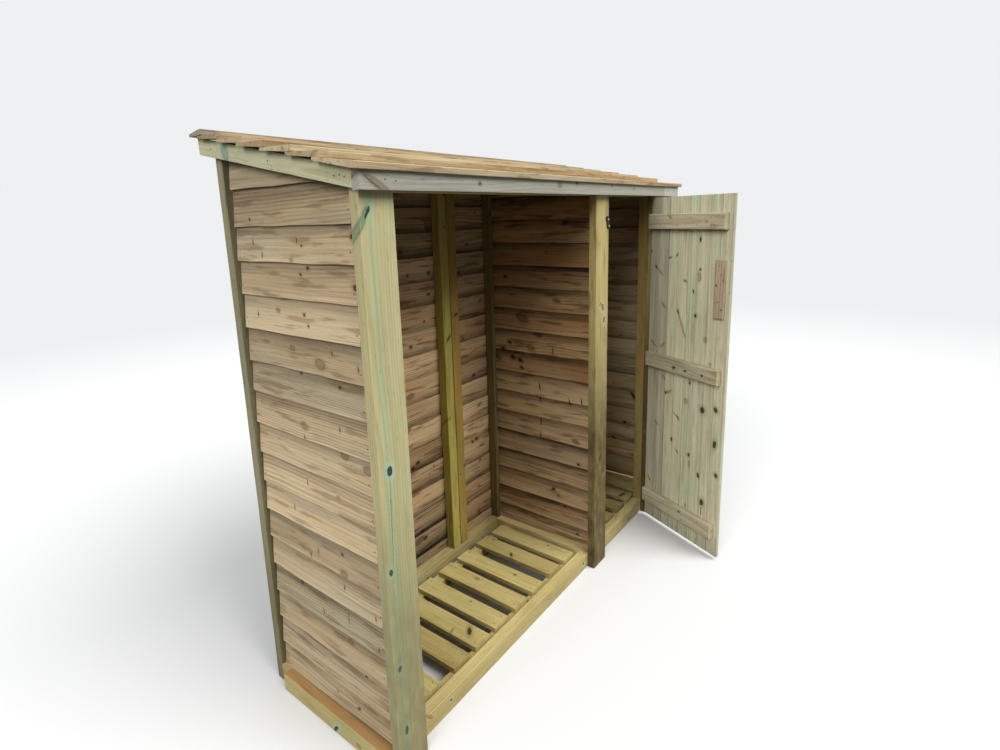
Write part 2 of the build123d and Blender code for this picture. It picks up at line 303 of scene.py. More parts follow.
class Bench:
    """Adds nodes to the tree of a new material or world and joins them."""

    def __init__(self, block: bpy.types.Material | bpy.types.World) -> None:
        """Empties the tree."""
        self.block = block
        block.use_nodes = True
        self.tree = block.node_tree
        self.tree.nodes.clear()

    def add(self, kind: str, inputs: dict[Any, Any] | None = None, **settings: Any) -> bpy.types.Node:
        """Adds a node.

        Args:
            kind: the node's type name.
            inputs: values or signals for its inputs, by name or number.
            settings: properties of the node.

        Returns:
            The new node.
        """
        node = self.tree.nodes.new(kind)
        for name, value in settings.items():
            setattr(node, name, value)
        for name, value in (inputs or {}).items():
            socket = node.inputs[name]
            if isinstance(value, Signal):
                self.tree.links.new(value.socket, socket)
            elif isinstance(value, tuple) and socket.type == "RGBA":
                socket.default_value = (*value, 1.0)
            else:
                socket.default_value = value
        return node

    def out(self, kind: str, inputs: dict[Any, Any] | None = None, output: Any = 0,
            **settings: Any) -> Signal:
        """The wanted output of a new node."""
        return Signal(self, self.add(kind, inputs, **settings).outputs[output])

    def read(self, name: str, output: str = "Vector") -> Signal:
        """An attribute of the mesh."""
        return self.out("ShaderNodeAttribute", output=output, attribute_name=name)

    def blend(self, a: Any, b: Any, share: Any) -> Signal:
        """A colour between a and b."""
        return self.out("ShaderNodeMix", {0: share, 6: a, 7: b}, 2, data_type="RGBA", clamp_factor=True)

    def mix(self, a: Signal, b: Signal, share: Signal) -> Signal:
        """A shader between a and b."""
        return self.out("ShaderNodeMixShader", {0: share, 1: a, 2: b})

    def seen(self) -> Signal:
        """1 for what the camera sees, straight or in a reflection."""
        path = self.add("ShaderNodeLightPath").outputs
        return Signal(self, path["Is Camera Ray"]).math("MAXIMUM", Signal(self, path["Is Glossy Ray"]))

    def surface(self, colour: Signal, roughness: Signal, height: Signal, distance: float,
                strength: float, **more: float) -> bpy.types.Material:
        """Ends a material with a solid surface.

        Args:
            colour: its colour.
            roughness: how rough it is.
            height: its fine relief.
            distance: how deep the relief is, in metres.
            strength: how strongly the relief shows.
            more: other inputs of the shader, with _ for each blank.

        Returns:
            The material.
        """
        bump = self.out("ShaderNodeBump", {"Height": height, "Distance": distance, "Strength": strength})
        inputs = {name.replace("_", " "): value for name, value in more.items()}
        inputs |= {"Base Color": colour, "Roughness": roughness, "Normal": bump}
        return self.close(self.out("ShaderNodeBsdfPrincipled", inputs))

    def close(self, shader: Signal, kind: str = "Material") -> Any:
        """Joins the shader to the output and returns the material or world."""
        self.add("ShaderNodeOutput" + kind, {"Surface": shader})
        return self.block


@dataclass(frozen=True)
class PineFinish:
    """Rough sawn, pressure treated pine: growth rings, knots, fibres and the treatment's tint.

    The colours are those of early and late wood, heartwood, tinted wood, the halo round a dead
    knot, dead and live knots, a streak of wash, the darker foot, which is partly damp and partly
    painted shade towards the ground, and greyed wood. The rings' spacing, their pith's depth,
    arching and wavering, a knot's ragged edge and the relief are metres. Lip highlight is a
    painted highlight along a lapped board's lower edge, shade is painted shade, with some dirt,
    where lapped boards meet, and seam is how much the edges of a jointed board darken; the rest
    are strengths or shares of what they name.
    """

    name: str
    pale: Colour
    late: Colour
    heart: Colour
    tint: Colour
    halo: Colour
    dead: Colour
    live: Colour
    wash: Colour = (0.44, 0.57, 0.33)
    damp_and_shade: Colour = (0.10, 0.07, 0.03)
    greyed: Colour = (0.36, 0.36, 0.32)
    gloss: float = 0.2
    contrast: float = 0.6
    heart_share: float = 0.5
    tint_share: float = 0.4
    fibre: float = 0.34
    cloud: float = 0.34
    band: float = 0.15
    pore: float = 0.2
    tone_step: float = 0.16
    rim: float = 0.4
    darkest: float = 0.06
    spacing: float = 0.0062
    pith_depth: float = 0.044
    arching: float = 0.034
    wavering: float = 0.012
    knot_ragged: float = 0.004
    knot_slant: float = -0.9
    knot_spread: float = 0.6
    saw: float = 0.35
    saw_turns: float = 1900.0
    relief: float = 0.0009
    rough: float = 0.74
    lip_highlight: float = 0.0
    seam: float = 0.0
    shade: float = 0.0
    smudge: float = 0.25
    tick: float = 0.3
    soil: float = 0.25
    soak_and_shade: float = 0.55

    def knots(self, bench: Bench, place: Signal) -> tuple[Signal, Signal, Signal]:
        """Reads the knots of a board.

        Args:
            bench: where the nodes go.
            place: the place on the board.

        Returns:
            How far the grain is pushed aside, and the distances to the nearest dead and the
            nearest live knot in radii.
        """
        ragged = bench.out("ShaderNodeTexNoise", {"Vector": place, "Scale": 130.0, "Detail": 1.0}, "Color")
        uneven = (ragged - (0.5, 0.5, 0.5)) * (self.knot_ragged, self.knot_ragged, 0.0)
        slant = bench.out("ShaderNodeCombineXYZ", {0: place.split()[2] * self.knot_slant})
        spot = place * (1.0, 1.0, 0.0) + (uneven + slant)
        push: Any = 0.0
        dead: Any = LIVE_OFFSET
        live: Any = 0.0
        for index in range(KNOT_SLOTS):
            offset = spot - bench.read(f"knot_{index}")
            along, across = (offset.dot(bench.read(f"knot_{index}_{way}")) for way in ("along", "across"))
            square = along * along + across * across
            distance = square.math("SQRT")
            _, aside, kind = offset.split()
            push = aside / (square + self.knot_spread) + push
            dead = (distance - kind).math("MINIMUM", dead)
            live = (distance + kind).math("MINIMUM", live)
        return push, dead, live + LIVE_OFFSET

    def rings(self, bench: Bench, grain: Signal, place: Sequence[Signal]) -> Signal:
        """Late wood lines, as the saw meets the growth rings at that place.

        Args:
            bench: where the nodes go.
            grain: the place on the board, moved by the board's seed.
            place: the place along, across and through the board.

        Returns:
            How dark the late wood is there, from 0 to 1.
        """
        u, v, w = place
        draw = bench.read("seed", "Color").split()[0].math("FRACT")
        side = (v - bench.read("seed", "Alpha")).math("POWER", 2.0)
        radius = (side + (w + self.pith_depth).math("POWER", 2.0)).math("SQRT")
        bent = radius + (u * 0.005 + grain.speckle(Pattern.ARCHES) * self.arching)
        phase = bent / (draw * (self.spacing * 0.9) + self.spacing * 0.65)
        turn = phase.math("FRACT")
        each = bench.out("ShaderNodeTexWhiteNoise", {"W": phase.math("FLOOR")}, noise_dimensions="1D")
        plain = grain.speckle(Pattern.PLAIN_PARTS).step(0.40, 0.60)
        rise = turn.step(0.30, 0.86) * turn.step(1.0, 0.90)
        return rise * (plain * 0.7 + 0.3) * (each * 0.65 + 0.35)

    def stained(self, bench: Bench, wood: Signal, grain: Signal, v: Signal) -> Signal:
        """Stains the wood.

        Args:
            bench: where the nodes go.
            wood: the plain wood.
            grain: the place on the board, moved by the board's seed.
            v: the place across the board.

        Returns:
            The wood with its heartwood, the treatment's tint, its green wash and its greying.
        """
        _, hue, grey = bench.read("tone", "Color").split()
        heart = grain.speckle(Pattern.HEARTWOOD).step(0.44, 0.62, self.heart_share)
        heart = heart.math("ADD", hue.math("MAXIMUM", 0.0), use_clamp=True)
        tint = grain.speckle(Pattern.TINT).step(0.46, 0.64, self.tint_share)
        tint = tint.math("SUBTRACT", hue.math("MINIMUM", 0.0), use_clamp=True)
        smudge = grain.speckle(Pattern.SMUDGES).step(0.53, 0.66, self.smudge)
        middle, half, strength = bench.read("wash", "Color").split()
        stray = grain.speckle(Pattern.WASH_EDGE) * 0.03 - 0.015
        streak = ((v - middle - stray).math("ABSOLUTE") / half).step(1.3, 0.5)
        patchy = grain.speckle(Pattern.WASH_PATCHES).step(0.30, 0.55)
        wood = wood.toward(self.heart, heart).toward(self.tint, tint).toward(self.late, smudge)
        return wood.toward(self.wash, streak * (patchy * 0.5 + 0.5) * strength).toward(self.greyed, grey)

    def knotted(self, bench: Bench, wood: Signal, grain: Signal, dead: Signal, live: Signal) -> Signal:
        """Puts the knots on the wood.

        Args:
            bench: where the nodes go.
            wood: the stained wood.
            grain: the place on the board, moved by the board's seed.
            dead: the distance to the nearest dead knot in radii.
            live: the distance to the nearest live knot in radii.

        Returns:
            The wood with its knots and the halos round them.
        """
        grit = grain.speckle(Pattern.KNOT_GRIT)
        ring = (live * 13.0).math("SINE") * 0.2 + 0.55
        rim = live.step(1.35, 1.08) * live.step(0.78, 1.0)
        wood = wood.toward(self.halo, dead.step(3.2, 0.9, 0.85)).toward(self.live, live.step(2.4, 0.5, 0.55))
        wood = wood.toward(self.live, live.step(1.15, 0.9) * ring).toward(self.dead, rim * self.rim)
        core = bench.blend(self.dead, self.live, grit.step(0.45, 0.75, 0.5))
        return wood.toward(core, dead.step(1.14, 0.92))

    def lit(self, bench: Bench, wood: Signal, grain: Signal, v: Signal, w: Signal,
            dead: Signal) -> Signal:
        """Makes the wood lighter and darker.

        Args:
            bench: where the nodes go.
            wood: the wood with its knots.
            grain: the place on the board, moved by the board's seed.
            v: the place across the board.
            w: the place through the board.
            dead: the distance to the nearest dead knot in radii.

        Returns:
            The wood with its fibres, torn grain, painted highlight and painted shade where laps meet,
            splashes of dirt, and its foot darkened partly by damp and partly as painted shade.
        """
        light: Any = 1.0
        for pattern, amount in ((Pattern.FIBRES, self.fibre), (Pattern.CLOUDS, self.cloud),
                                (Pattern.BANDS, self.band), (Pattern.PORES, self.pore)):
            light = grain.speckle(pattern) * amount + (light - amount / 2)
        light = light - grain.speckle(Pattern.TICKS).step(0.66, 0.76, self.tick)
        light = light + bench.read("tone", "Color").split()[0] * self.tone_step
        light = light - dead.step(0.62, 0.95) * dead.step(1.3, 1.05) * self.rim
        # Painted highlight along the lower edge of each lapped board.
        if self.lip_highlight:
            light = light + v.step(0.013, 0.0, self.lip_highlight)
        if self.seam:
            light = light - v.step(0.0055, 0.001, self.seam)
        # Painted shade, with some dirt: on the outer face below the lap of the board above, and on the inner
        # face just above the board below.
        if self.shade:
            outside = w.step(-0.005, -0.002)
            left = bench.read("tone", "Alpha") - v
            light = light - left.step(0.070, 0.016, self.shade) * outside
            light = light - v.step(0.062, 0.016, outside * -self.shade + self.shade)
        height = bench.out("ShaderNodeTexCoord", output="Object").split()[2]
        patch = grain.speckle(Pattern.DIRT)
        light = light - height.step(0.16, 0.0, self.soil) * patch
        # Darker towards the foot, below the height in the wash's alpha: partly damp, partly painted shade
        # near the ground.
        damp_and_shade = (height - bench.read("wash", "Alpha")).step(0.15, -0.5, self.soak_and_shade)
        return (wood * light.math("MAXIMUM", self.darkest)).toward(self.damp_and_shade, damp_and_shade * (patch * 0.8 + 0.6))

    def material(self) -> bpy.types.Material:
        """Builds the material of this finish.

        Returns:
            The material.
        """
        bench = Bench(bpy.data.materials.new(self.name))
        place = bench.read("place")
        grain = place + bench.read("seed", "Color")
        u, v, w = place.split()
        push, dead, live = self.knots(bench, place)
        line = v + grain.speckle(Pattern.WAVERING) * self.wavering - push
        late = self.rings(bench, grain, (u, line, w))
        wood = self.stained(bench, bench.blend(self.pale, self.heart, 0.15), grain, v)
        wood = self.knotted(bench, wood.toward(self.late, late * self.contrast), grain, dead, live)
        marks = (u * self.saw_turns).math("SINE") * (self.saw * 0.5)
        torn = grain.speckle(Pattern.TORN_FIBRES) * 1.6 + marks
        return bench.surface(self.lit(bench, wood, grain, v, w, dead), late * -0.14 + self.rough,
                             torn, self.relief, 0.6, Specular_IOR_Level=self.gloss)

    def cut_end(self) -> "PineFinish":
        """The same wood where a saw crossed it: plainer, with the rings showing."""
        return replace(self, name=self.name + "_end", contrast=self.contrast * 1.15, saw=0.0,
                       fibre=0.2, lip_highlight=0.0, shade=0.0, tint_share=self.tint_share * 0.5)


@dataclass(frozen=True)
class MetalFinish:
    """Iron or steel with a little wear."""

    name: str
    base: Colour
    worn: Colour
    metallic: float
    rough: float

    def material(self) -> bpy.types.Material:
        """Builds the material of this finish.

        Returns:
            The material.
        """
        bench = Bench(bpy.data.materials.new(self.name))
        place = bench.out("ShaderNodeTexCoord", output="Object")
        wear = place.speckle(Pattern.WORN_METAL).step(0.55, 0.72)
        return bench.surface(bench.blend(self.base, self.worn, wear), wear * 0.2 + self.rough,
                             place.speckle(Pattern.METAL_GRIT), 0.0002, 0.4, Metallic=self.metallic)


POST = PineFinish("post_pine", pale=(0.58, 0.54, 0.30), late=(0.42, 0.37, 0.16), heart=(0.54, 0.45, 0.24),
                  tint=(0.49, 0.54, 0.28), halo=(0.40, 0.60, 0.42), dead=(0.02, 0.05, 0.03),
                  live=(0.16, 0.26, 0.14), damp_and_shade=(0.14, 0.12, 0.05), heart_share=0.6, tint_share=0.4,
                  contrast=0.75, band=0.25, smudge=0.3)
CLADDING = PineFinish("cladding_pine", pale=(0.57, 0.455, 0.285), late=(0.23, 0.15, 0.072),
                      heart=(0.47, 0.34, 0.195), tint=(0.49, 0.43, 0.285), halo=(0.32, 0.20, 0.105),
                      dead=(0.06, 0.032, 0.018), live=(0.30, 0.185, 0.10), contrast=0.75,
                      tint_share=0.6, fibre=0.45, band=0.55, lip_highlight=0.14, shade=0.44, tick=0.2,
                      smudge=0.6, damp_and_shade=(0.10, 0.07, 0.03))
# Boards seen inside the store, and through DIVISION the division wall's: darker and redder than the cladding
# outside, partly as painted shade of the dim inside.
INNER = replace(CLADDING, name="inner_cladding_pine", pale=(0.56, 0.40, 0.225), late=(0.155, 0.083, 0.036),
                heart=(0.38, 0.22, 0.10), tint=(0.47, 0.365, 0.20), dead=(0.03, 0.018, 0.01),
                halo=(0.17, 0.09, 0.045), live=(0.16, 0.09, 0.045), lip_highlight=0.12, smudge=0.8, band=0.75,
                shade=0.66)
DIVISION = replace(INNER, name="division_pine", pale=(0.58, 0.412, 0.228), late=(0.175, 0.092, 0.037),
                   heart=(0.42, 0.225, 0.095), tint=(0.50, 0.37, 0.19))
MIDPOST = replace(POST, name="middle_post_pine", pale=(0.56, 0.465, 0.205), late=(0.29, 0.20, 0.065),
                  heart=(0.45, 0.325, 0.115), tint=(0.52, 0.475, 0.215), live=(0.24, 0.17, 0.08),
                  dead=(0.27, 0.19, 0.09), halo=(0.60, 0.53, 0.32), damp_and_shade=(0.055, 0.033, 0.012), soak_and_shade=0.8,
                  smudge=0.7, contrast=0.85, band=0.5)
BATTEN = replace(POST, name="batten_pine", pale=(0.50, 0.41, 0.115), late=(0.30, 0.21, 0.04),
                 heart=(0.46, 0.28, 0.065), tint=(0.38, 0.38, 0.085), halo=(0.26, 0.21, 0.06),
                 dead=(0.04, 0.03, 0.015), live=(0.22, 0.15, 0.04), damp_and_shade=(0.10, 0.07, 0.03), smudge=0.6,
                 band=0.45, contrast=0.8)
SLAT = replace(POST, name="slat_pine", pale=(0.51, 0.435, 0.185), late=(0.33, 0.24, 0.07),
               heart=(0.46, 0.34, 0.125), tint=(0.43, 0.42, 0.16), halo=(0.28, 0.23, 0.09),
               dead=(0.05, 0.035, 0.015), live=(0.24, 0.17, 0.06), soil=0.15, rough=0.5, smudge=0.5,
               band=0.35, contrast=0.8)
RAIL = replace(POST, name="rail_pine", pale=(0.67, 0.565, 0.27), late=(0.38, 0.28, 0.09),
               heart=(0.55, 0.40, 0.15), tint=(0.52, 0.50, 0.22), dead=(0.06, 0.04, 0.02),
               live=(0.34, 0.24, 0.09), soil=0.2, rough=0.6, band=0.35, smudge=0.4)
RIPPED = replace(POST, name="ripped_pine", pale=(0.51, 0.285, 0.11), late=(0.24, 0.115, 0.03),
                 heart=(0.36, 0.19, 0.065), tint=(0.40, 0.29, 0.13), tint_share=0.3, soil=0.0,
                 smudge=0.5, contrast=0.9, band=0.4)
TRIM = replace(POST, name="trim_pine", pale=(0.455, 0.445, 0.37), late=(0.30, 0.28, 0.205),
               heart=(0.40, 0.37, 0.285), tint=(0.40, 0.415, 0.35), dead=(0.11, 0.08, 0.045),
               halo=(0.26, 0.23, 0.16), live=(0.25, 0.205, 0.13), soil=0.0, contrast=0.8, band=0.4,
               smudge=0.35)
BARGE = replace(TRIM, name="barge_pine", pale=(0.61, 0.60, 0.385), heart=(0.56, 0.51, 0.31),
                tint=(0.51, 0.57, 0.38), late=(0.44, 0.41, 0.21), halo=(0.33, 0.44, 0.33),
                live=(0.24, 0.40, 0.32), dead=(0.14, 0.09, 0.05), contrast=0.7, band=0.3)
ROOFING = replace(POST, name="roof_pine", pale=(0.63, 0.53, 0.34), late=(0.30, 0.20, 0.105),
                  heart=(0.54, 0.375, 0.21), tint=(0.54, 0.50, 0.34), halo=(0.32, 0.21, 0.11),
                  dead=(0.07, 0.045, 0.028), live=(0.30, 0.20, 0.10), heart_share=0.7, tint_share=0.5,
                  soil=0.0, smudge=0.7, contrast=0.8, band=0.5, gloss=0.1, rough=0.85)
DOOR = replace(POST, name="door_pine", pale=(0.72, 0.68, 0.48), late=(0.46, 0.40, 0.235),
               heart=(0.62, 0.53, 0.36), tint=(0.60, 0.635, 0.435), halo=(0.38, 0.41, 0.22),
               dead=(0.05, 0.05, 0.022), live=(0.36, 0.29, 0.15), wash=(0.76, 0.73, 0.54), contrast=0.75,
               heart_share=0.5, tint_share=0.6, saw=0.1, soil=0.45, band=0.6, smudge=0.5, seam=0.20)
LEDGE = replace(DOOR, name="ledge_pine", pale=(0.58, 0.52, 0.36), late=(0.33, 0.265, 0.15),
                heart=(0.49, 0.40, 0.25), tint=(0.50, 0.49, 0.34), contrast=0.9, seam=0.0, band=0.5)
PAD = replace(LEDGE, name="pad_pine", pale=(0.60, 0.475, 0.33), late=(0.30, 0.18, 0.11),
              heart=(0.50, 0.345, 0.235), tint=(0.50, 0.43, 0.30), smudge=0.8)
NAIL = MetalFinish("nail_head", (0.13, 0.105, 0.08), (0.19, 0.13, 0.08), 0.4, 0.5)
ZINC = MetalFinish("zinc_screw", (0.62, 0.62, 0.60), (0.45, 0.44, 0.42), 1.0, 0.3)
SCREW = MetalFinish("black_screw", (0.022, 0.022, 0.023), (0.06, 0.052, 0.045), 0.6, 0.35)
IRON = MetalFinish("black_iron", (0.012, 0.012, 0.013), (0.035, 0.03, 0.028), 0.0, 0.42)


# Timber


@dataclass(frozen=True)
class Tone:
    """How one length of timber differs from the next.

    It is lighter, warmer or greener, greyer, and darker below a height in metres, partly as damp and partly
    as painted shade near the ground.
    """

    value: float = 0.0
    hue: float = 0.0
    grey: float = 0.0
    damp_and_shade: float = -1.0

    def stray(self, rng: random.Random, amount: float) -> "Tone":
        """A tone near this one."""
        return replace(self, value=self.value + rng.uniform(-amount, amount),
                       hue=self.hue + rng.uniform(-0.3, 0.3) * amount)


@dataclass(frozen=True)
class Knot:
    """A knot by its place in the row frame.

    The radius is in millimetres and is taken across the knot, stretch is how many times
    longer it is, and lean is how far it turns from the run of its board, in radians.
    """

    place: Vector
    radius: float = 6.0
    stretch: float = 1.3
    lean: float = 0.0
    kind: KnotKind = KnotKind.DEAD


@dataclass(frozen=True)
class BoardKnot:
    """A knot in its board's own places, in metres along and across."""

    along: float
    across: float
    radius: float
    stretch: float
    lean: float
    kind: KnotKind

    def write(self, vert: bmesh.types.BMVert, layers: Sequence[Any]) -> None:
        """Writes the knot on a vertex of its board.

        Args:
            vert: the vertex.
            layers: where the knot's place goes, and the two directions it is measured along.
        """
        place, long_way, short_way = layers
        cosine, sine = math.cos(self.lean), math.sin(self.lean)
        vert[place] = (self.along, self.across, self.kind.value)
        vert[long_way] = Vector((cosine, sine, 0.0)) / (self.radius * self.stretch)
        vert[short_way] = Vector((-sine, cosine, 0.0)) / self.radius


NO_KNOT = BoardKnot(50.0, 50.0, 0.01, 1.0, 0.0, KnotKind.DEAD)


@dataclass(frozen=True)
class Cut:
    """A plane that a length of timber is sawn off at; what lies on the normal's side goes."""

    place: Vector
    normal: Vector


def knots_on(axis: str, level: float, marks: Iterable[Sequence[float]], *shared: float,
             kind: KnotKind = KnotKind.DEAD) -> list[Knot]:
    """Knots on a face that stands square to an axis.

    Args:
        axis: "x" for a side face, or "y" for a front or back face.
        level: where the face lies on that axis, in millimetres.
        marks: each knot's place across the face and height, then its own radius, stretch and lean.
        shared: those of radius, stretch and lean that the marks leave out.
        kind: how the knots sit in their boards.

    Returns:
        The knots.
    """
    found: list[Knot] = []
    for across, height, *own in marks:
        place = at(level, across, height) if axis == "x" else at(across, level, height)
        found.append(Knot(place, *own, *shared, kind=kind))
    return found


@dataclass
class Timber:
    """A length of sawn timber, as a four-cornered section drawn out along a run.

    The section's corners are low back, low face, high face and high back. Nails are
    given as distances along and across the face in metres. The edges wander and the face
    bows by a little, and a wash is the middle, the half width and the strength of a streak.
    """

    section: tuple[Vector, Vector, Vector, Vector]
    run: Vector
    tone: Tone = Tone()
    arris: float | tuple[float, float] = 0.0015
    wander: float = 0.0004
    parts: int = 10
    cuts: Sequence[Cut] = ()
    nails: Sequence[tuple[float, float]] = ()
    ripped: Vector | None = None
    knotty: float = 3.5
    wash: Triple = (0.0, 0.01, 0.0)
    waves: float = 9.0
    knot_depth: float = 0.03
    knot_margin: float = 0.004

    @property
    def length(self) -> float:
        """Metres along the run."""
        return self.run.length

    @property
    def width(self) -> float:
        """Metres across the face."""
        a, b, c, d = self.section
        return ((c - b).length + (d - a).length) / 2

    @property
    def thickness(self) -> float:
        """Metres through the middle."""
        a, b, c, d = self.section
        return ((b - a).length + (c - d).length) / 2

    def point(self, u: float, v: float, w: float) -> Vector:
        """A point of the timber from its shares along, across and through."""
        a, b, c, d = self.section
        return a.lerp(b, w).lerp(d.lerp(c, w), v) + self.run * u

    def face_normal(self) -> Vector:
        """Finds where the face looks.

        Returns:
            The direction, one metre long.
        """
        across = self.point(0, 1, 1) - self.point(0, 0, 1)
        normal = self.run.cross(across).normalized()
        through = self.point(0.5, 0.5, 1) - self.point(0.5, 0.5, 0)
        return normal if normal.dot(through) > 0 else -normal

    def known_knots(self, seen: Iterable[Knot]) -> list[BoardKnot]:
        """Picks out the known knots that lie on this length.

        Args:
            seen: knots by their places in the row frame.

        Returns:
            The knots on its face, in its own places.
        """
        origin = self.point(0, 0, 1)
        along = self.run.normalized()
        across = (self.point(0, 1, 1) - origin).normalized()
        slant = across.dot(along)
        square = (across - along * slant).normalized()
        margin = self.knot_margin
        found: list[BoardKnot] = []
        for knot in seen:
            offset = knot.place - origin
            v = offset.dot(square) / across.dot(square)
            u = offset.dot(along) - v * slant
            near = abs(offset.dot(self.face_normal())) < self.knot_depth
            if near and -margin <= u <= self.length + margin and -margin <= v <= self.width + margin:
                found.append(BoardKnot(u, v, knot.radius * MM, knot.stretch, knot.lean, knot.kind))
        return found

    def drawn_knot(self, rng: random.Random) -> BoardKnot:
        """Draws a knot by chance.

        Args:
            rng: draws it.

        Returns:
            The knot; three in ten are stretched and lie aslant.
        """
        size = rng.uniform(0.002, 0.0065) * min(1.0, self.width / 0.06)
        kind = KnotKind.DEAD if rng.random() < 0.4 else KnotKind.LIVE
        stretched = rng.random() < 0.3
        along = rng.uniform(0.02, self.length - 0.02)
        across = rng.uniform(0.08, 0.92) * self.width
        stretch = rng.uniform(2.2, 3.6) if stretched else rng.uniform(1.1, 1.6)
        lean = rng.uniform(0.7, 1.5) * rng.choice((-1, 1)) if stretched else rng.uniform(-0.3, 0.3)
        return BoardKnot(along, across, size, stretch, lean, kind)

    def blank(self) -> bmesh.types.BMesh:
        """Planks a straight blank with its run along x and its face up.

        Returns:
            The blank, in as many parts as it needs to wander and with its arrises taken off.
        """
        bm = bmesh.new()
        bmesh.ops.create_cube(bm, size=1.0)
        bmesh.ops.translate(bm, vec=(0.5, 0.5, 0.5), verts=bm.verts)
        bmesh.ops.scale(bm, vec=(self.length, self.width, self.thickness), verts=bm.verts)
        for face in bm.faces:
            if abs(face.normal.x) > 0.9:
                face.material_index = Face.END.value
        long_edges = [e for e in bm.edges if abs((e.verts[0].co - e.verts[1].co).x) > self.length / 2]
        bmesh.ops.subdivide_edges(bm, edges=long_edges, cuts=self.parts - 1, use_grid_fill=True)
        both = self.arris if isinstance(self.arris, tuple) else (self.arris, self.arris)
        for place, arris in zip((0.0, self.width), both):
            edges = [e for e in bm.edges if abs((e.verts[0].co - e.verts[1].co).normalized().x) > 0.99
                     and all(abs(v.co.y - place) < SAME_POINT for v in e.verts)]
            bmesh.ops.bevel(bm, geom=edges, offset=arris, offset_type="OFFSET", segments=2,
                            profile=0.5, affect="EDGES", material=-1, clamp_overlap=True)
        return bm

    def mesh(self, seen: Iterable[Knot], rng: random.Random) -> bpy.types.Mesh:
        """Saws the length out.

        Args:
            seen: knots with known places.
            rng: draws what differs from one length to the next.

        Returns:
            A mesh that carries its own places, seed, tone and knots as attributes.
        """
        length, width, thickness = self.length, self.width, self.thickness
        bm = self.blank()
        self.mark(bm, seen, rng)
        start = rng.uniform(0, 100)
        bow = rng.uniform(-1, 1) * self.wander
        for vert in bm.verts:
            u, v, w = vert.co.x / length, vert.co.y / width, vert.co.z / thickness
            low, high = (noise.noise(Vector((vert.co.x * self.waves, row, 0.0))) * self.wander * 2
                         for row in (start, start + 30))
            v += (low * (1 - v) + high * v) / width
            vert.co = self.point(u, v, w) + self.face_normal() * bow * math.sin(math.pi * u)
        for cut in self.cuts:
            self.saw(bm, cut)
        bmesh.ops.recalc_face_normals(bm, faces=bm.faces)
        if self.ripped is not None:
            for face in bm.faces:
                if face.normal.dot(self.ripped) > 0.7:
                    face.material_index = Face.RIPPED.value
        return meshed(bm, "length")

    def mark(self, bm: bmesh.types.BMesh, seen: Iterable[Knot], rng: random.Random) -> None:
        """Writes each vertex's place on the length, and the length's seed, tone, wash and knots.

        Args:
            bm: the blank.
            seen: knots with known places.
            rng: draws the seed, and the knots of a length on which none is known.
        """
        vectors, colours = bm.verts.layers.float_vector, bm.verts.layers.float_color
        place, seed = vectors.new("place"), colours.new("seed")
        tone, wash = colours.new("tone"), colours.new("wash")
        knots = [[vectors.new(f"knot_{i}{end}") for end in ("", "_along", "_across")]
                 for i in range(KNOT_SLOTS)]
        pith = rng.uniform(-0.6, 1.6) * self.width
        seeds = (rng.uniform(0, 60), rng.uniform(0, 60), rng.uniform(0, 60), pith)
        found = self.known_knots(seen)
        if not found:
            count = int(self.length * self.knotty + rng.random())
            found = [self.drawn_knot(rng) for _ in range(count)]
        found = (found + [NO_KNOT] * KNOT_SLOTS)[:KNOT_SLOTS]
        for vert in bm.verts:
            vert[place] = vert.co - Vector((0.0, 0.0, self.thickness))
            vert[seed] = seeds
            vert[tone] = (self.tone.value, self.tone.hue, self.tone.grey, self.width)
            # The wash's alpha is the height below which the foot darkens, partly as damp and partly as
            # painted shade.
            vert[wash] = (*self.wash, self.tone.damp_and_shade)
            for layers, knot in zip(knots, found):
                knot.write(vert, layers)

    @staticmethod
    def saw(bm: bmesh.types.BMesh, cut: Cut) -> None:
        """Takes off what lies beyond a cut and closes the end.

        Args:
            bm: the length.
            cut: where it is sawn.
        """
        geometry = bm.verts[:] + bm.edges[:] + bm.faces[:]
        sawn = bmesh.ops.bisect_plane(bm, geom=geometry, dist=SAME_POINT, plane_co=cut.place,
                                      plane_no=cut.normal, clear_outer=True)
        edges = [e for e in sawn["geom_cut"] if isinstance(e, bmesh.types.BMEdge)]
        if edges:
            bmesh.ops.holes_fill(bm, edges=edges, sides=0)


def squared(box: Box, face: Vector, **details: Any) -> Timber:
    """A square-edged length that fills a box.

    Args:
        box: lowest and highest corner.
        face: the direction that the face looks in.
        details: the rest of what a Timber takes.

    Returns:
        The length, run along the box's longest side.
    """
    low, high = box
    size = high - low
    along = max(range(3), key=lambda i: size[i])
    out = max((i for i in range(3) if i != along), key=lambda i: abs(face[i]))
    across = 3 - along - out
    section: list[Vector] = []
    for share_across, share_out in ((0, 0), (0, 1), (1, 1), (1, 0)):
        made = low.copy()
        made[across] += size[across] * share_across
        made[out] += size[out] * (share_out if face[out] > 0 else 1 - share_out)
        section.append(made)
    run = Vector((0.0, 0.0, 0.0))
    run[along] = size[along]
    return Timber(tuple(section), run, **details)


@cache
def shelf(finish: PineFinish | MetalFinish) -> bpy.types.Material:
    """The material of a finish, built once."""
    return finish.material()


